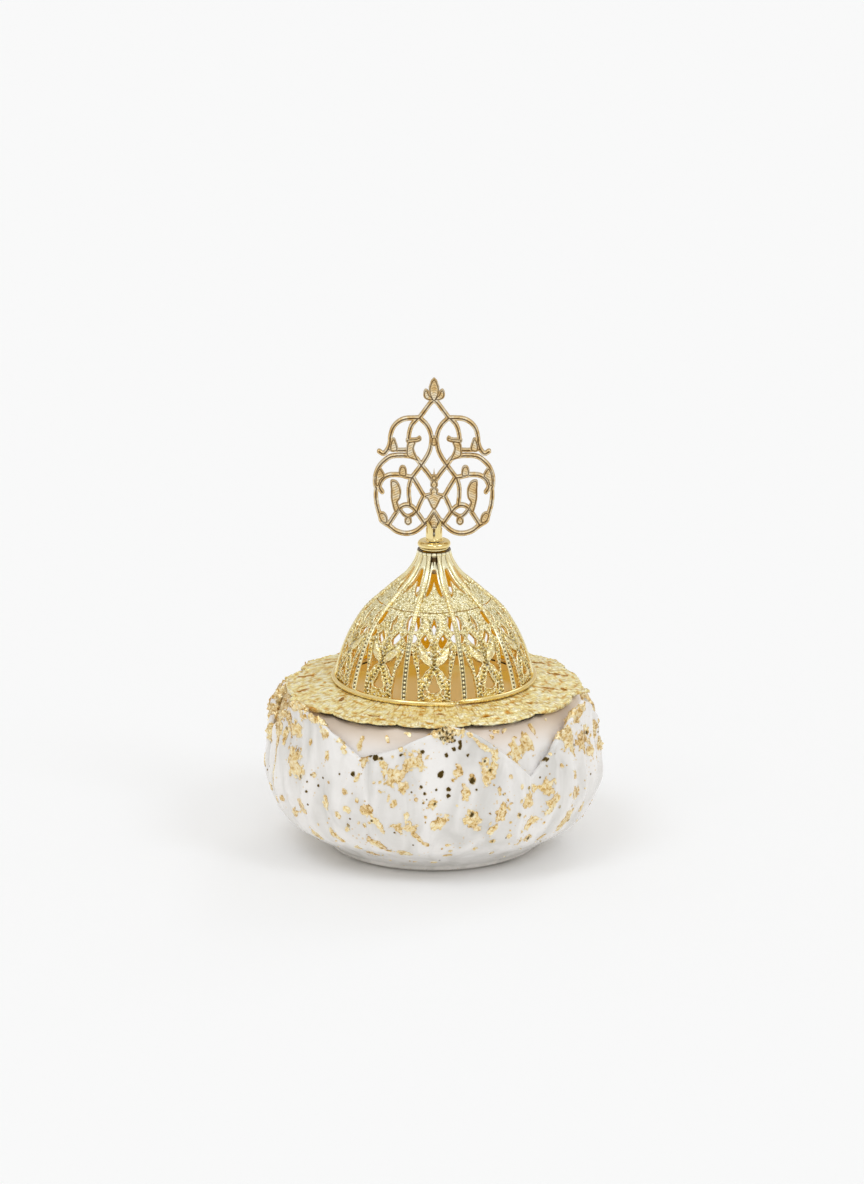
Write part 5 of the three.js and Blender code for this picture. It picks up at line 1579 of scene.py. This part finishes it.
def build_stage(settings):
    """A pale floor, a soft studio with four broad lamps, and the camera at the photograph's angle."""
    scene = bpy.context.scene
    scene.view_settings.view_transform = "Standard"
    world = bpy.data.worlds.new("soft studio")
    scene.world = world
    world.use_nodes = True
    world.node_tree.nodes.clear()
    node = partial(add, world.node_tree)
    # The studio's walls are dimmer than its ceiling, which gives the gold its contrast.
    upward = node("SeparateXYZ", {0: node("TexCoord", output="Generated")}, "Z")
    walls = node("ValToRGB", {0: upward}, stops=[(0.0, "#EFE3CF"), (0.3, "#EDE7DC"), (0.8, "#FFFFFF")])
    node("OutputWorld", {0: node("Background", {"Color": walls, "Strength": 0.81})})

    bpy.ops.object.select_all(action="DESELECT")
    bpy.ops.mesh.primitive_plane_add(size=8.0, location=(0, 0, 0))
    floor = bpy.context.active_object
    floor.name = "floor"
    floor.data.materials.append(finish_of(paper_sweep))

    sun_lamp("key_softbox", (-0.5, -0.6, 1.3), 26, 0.42)
    sun_lamp("fill_softbox", (0.8, -0.7, 1.0), 18, 0.34)
    sun_lamp("front_softbox", (0.1, -1.2, 0.55), 16, 0.15)
    sun_lamp("back_softbox", (0.5, 0.9, 1.0), 20, 0.16)

    data = bpy.data.cameras.new("camera")
    camera = bpy.data.objects.new("camera", data)
    scene.collection.objects.link(camera)
    scene.camera = camera
    data.sensor_fit = "HORIZONTAL"
    data.lens = data.sensor_width * settings.distance / settings.frame_width
    data.clip_end = 50.0
    # The view's middle is a little left of the burner's axis and above half of its height.
    target = Vector((-0.8, 0.0, 101.7)) * MM
    away = Vector((0, -math.cos(settings.elevation), math.sin(settings.elevation)))
    camera.location = target + away * settings.distance
    camera.rotation_euler = (-away).to_track_quat("-Z", "Y").to_euler()


# Operators and panel


class BURNER_OT_bowl(Operator):
    """Builds the lotus bowl with its petals, folds and foot"""

    bl_idname = "burner.bowl"
    bl_label = "Lotus Bowl"

    def execute(self, context):
        build_bowl(context.scene.burner_bowl)
        return {"FINISHED"}


class BURNER_OT_gold_leaf(Operator):
    """Lays the gold leaf and burnt spots on the bowl"""

    bl_idname = "burner.gold_leaf"
    bl_label = "Gold Leaf"

    def execute(self, context):
        build_leaf(context.scene.burner_bowl)
        return {"FINISHED"}


class BURNER_OT_coal_cup(Operator):
    """Spins the brass coal cup"""

    bl_idname = "burner.coal_cup"
    bl_label = "Coal Cup"

    def execute(self, context):
        build_cup()
        return {"FINISHED"}


class BURNER_OT_plate(Operator):
    """Builds the lobed plate of the lid"""

    bl_idname = "burner.plate"
    bl_label = "Lobed Plate"

    def execute(self, context):
        build_plate(context.scene.burner_lid)
        return {"FINISHED"}


class BURNER_OT_dome(Operator):
    """Builds the dome's pierced panels and its flared neck"""

    bl_idname = "burner.dome"
    bl_label = "Pierced Dome"

    def execute(self, context):
        build_panels(context.scene.burner_lid)
        build_neck(context.scene.burner_lid)
        return {"FINISHED"}


class BURNER_OT_ribs(Operator):
    """Builds the beaded straps over the dome"""

    bl_idname = "burner.ribs"
    bl_label = "Beaded Straps"

    def execute(self, context):
        build_ribs(context.scene.burner_lid)
        return {"FINISHED"}


class BURNER_OT_turned_parts(Operator):
    """Builds the wire ring, the collar and the finial's socket"""

    bl_idname = "burner.turned_parts"
    bl_label = "Ring, Collar and Socket"

    def execute(self, context):
        build_ring()
        build_collar()
        build_socket()
        return {"FINISHED"}


class BURNER_OT_finial(Operator):
    """Builds the openwork finial"""

    bl_idname = "burner.finial"
    bl_label = "Openwork Finial"

    def execute(self, context):
        build_finial(context.scene.burner_finial)
        return {"FINISHED"}


class BURNER_OT_hidden_pieces(Operator):
    """Gives the sleeve, stud, washer and nut their finishes"""

    bl_idname = "burner.hidden_pieces"
    bl_label = "Hidden Pieces"

    def execute(self, context):
        dress_hidden_pieces()
        return {"FINISHED"}


class BURNER_OT_stage(Operator):
    """Sets the floor, the lamps and the camera"""

    bl_idname = "burner.stage"
    bl_label = "Stage"

    def execute(self, context):
        build_stage(context.scene.burner_stage)
        return {"FINISHED"}


OPERATORS = (
    BURNER_OT_stage,
    BURNER_OT_bowl,
    BURNER_OT_gold_leaf,
    BURNER_OT_coal_cup,
    BURNER_OT_plate,
    BURNER_OT_dome,
    BURNER_OT_ribs,
    BURNER_OT_turned_parts,
    BURNER_OT_finial,
    BURNER_OT_hidden_pieces,
)


class BURNER_PT_panel(Panel):
    """Lists the burner's operators and settings"""

    bl_label = "Incense Burner"
    bl_space_type = "VIEW_3D"
    bl_region_type = "UI"
    bl_category = "Burner"

    def draw(self, context):
        for operator in OPERATORS:
            self.layout.operator(operator.bl_idname)
        for name in ("burner_bowl", "burner_lid", "burner_finial", "burner_stage"):
            group = getattr(context.scene, name)
            for key in group.__annotations__:
                self.layout.prop(group, key)


SETTINGS = {
    "burner_bowl": BurnerBowlSettings,
    "burner_lid": BurnerLidSettings,
    "burner_finial": BurnerFinialSettings,
    "burner_stage": BurnerStageSettings,
}


def register():
    for group in SETTINGS.values():
        bpy.utils.register_class(group)
    for operator in OPERATORS:
        bpy.utils.register_class(operator)
    bpy.utils.register_class(BURNER_PT_panel)
    for name, group in SETTINGS.items():
        setattr(bpy.types.Scene, name, PointerProperty(type=group))


def unregister():
    for name in SETTINGS:
        delattr(bpy.types.Scene, name)
    for thing in (BURNER_PT_panel, *OPERATORS, *SETTINGS.values()):
        bpy.utils.unregister_class(thing)


def main():
    """Registers the add-on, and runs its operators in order."""
    register()
    for operator in OPERATORS:
        group, name = operator.bl_idname.split(".")
        getattr(getattr(bpy.ops, group), name)()


if __name__ == "__main__":
    main()
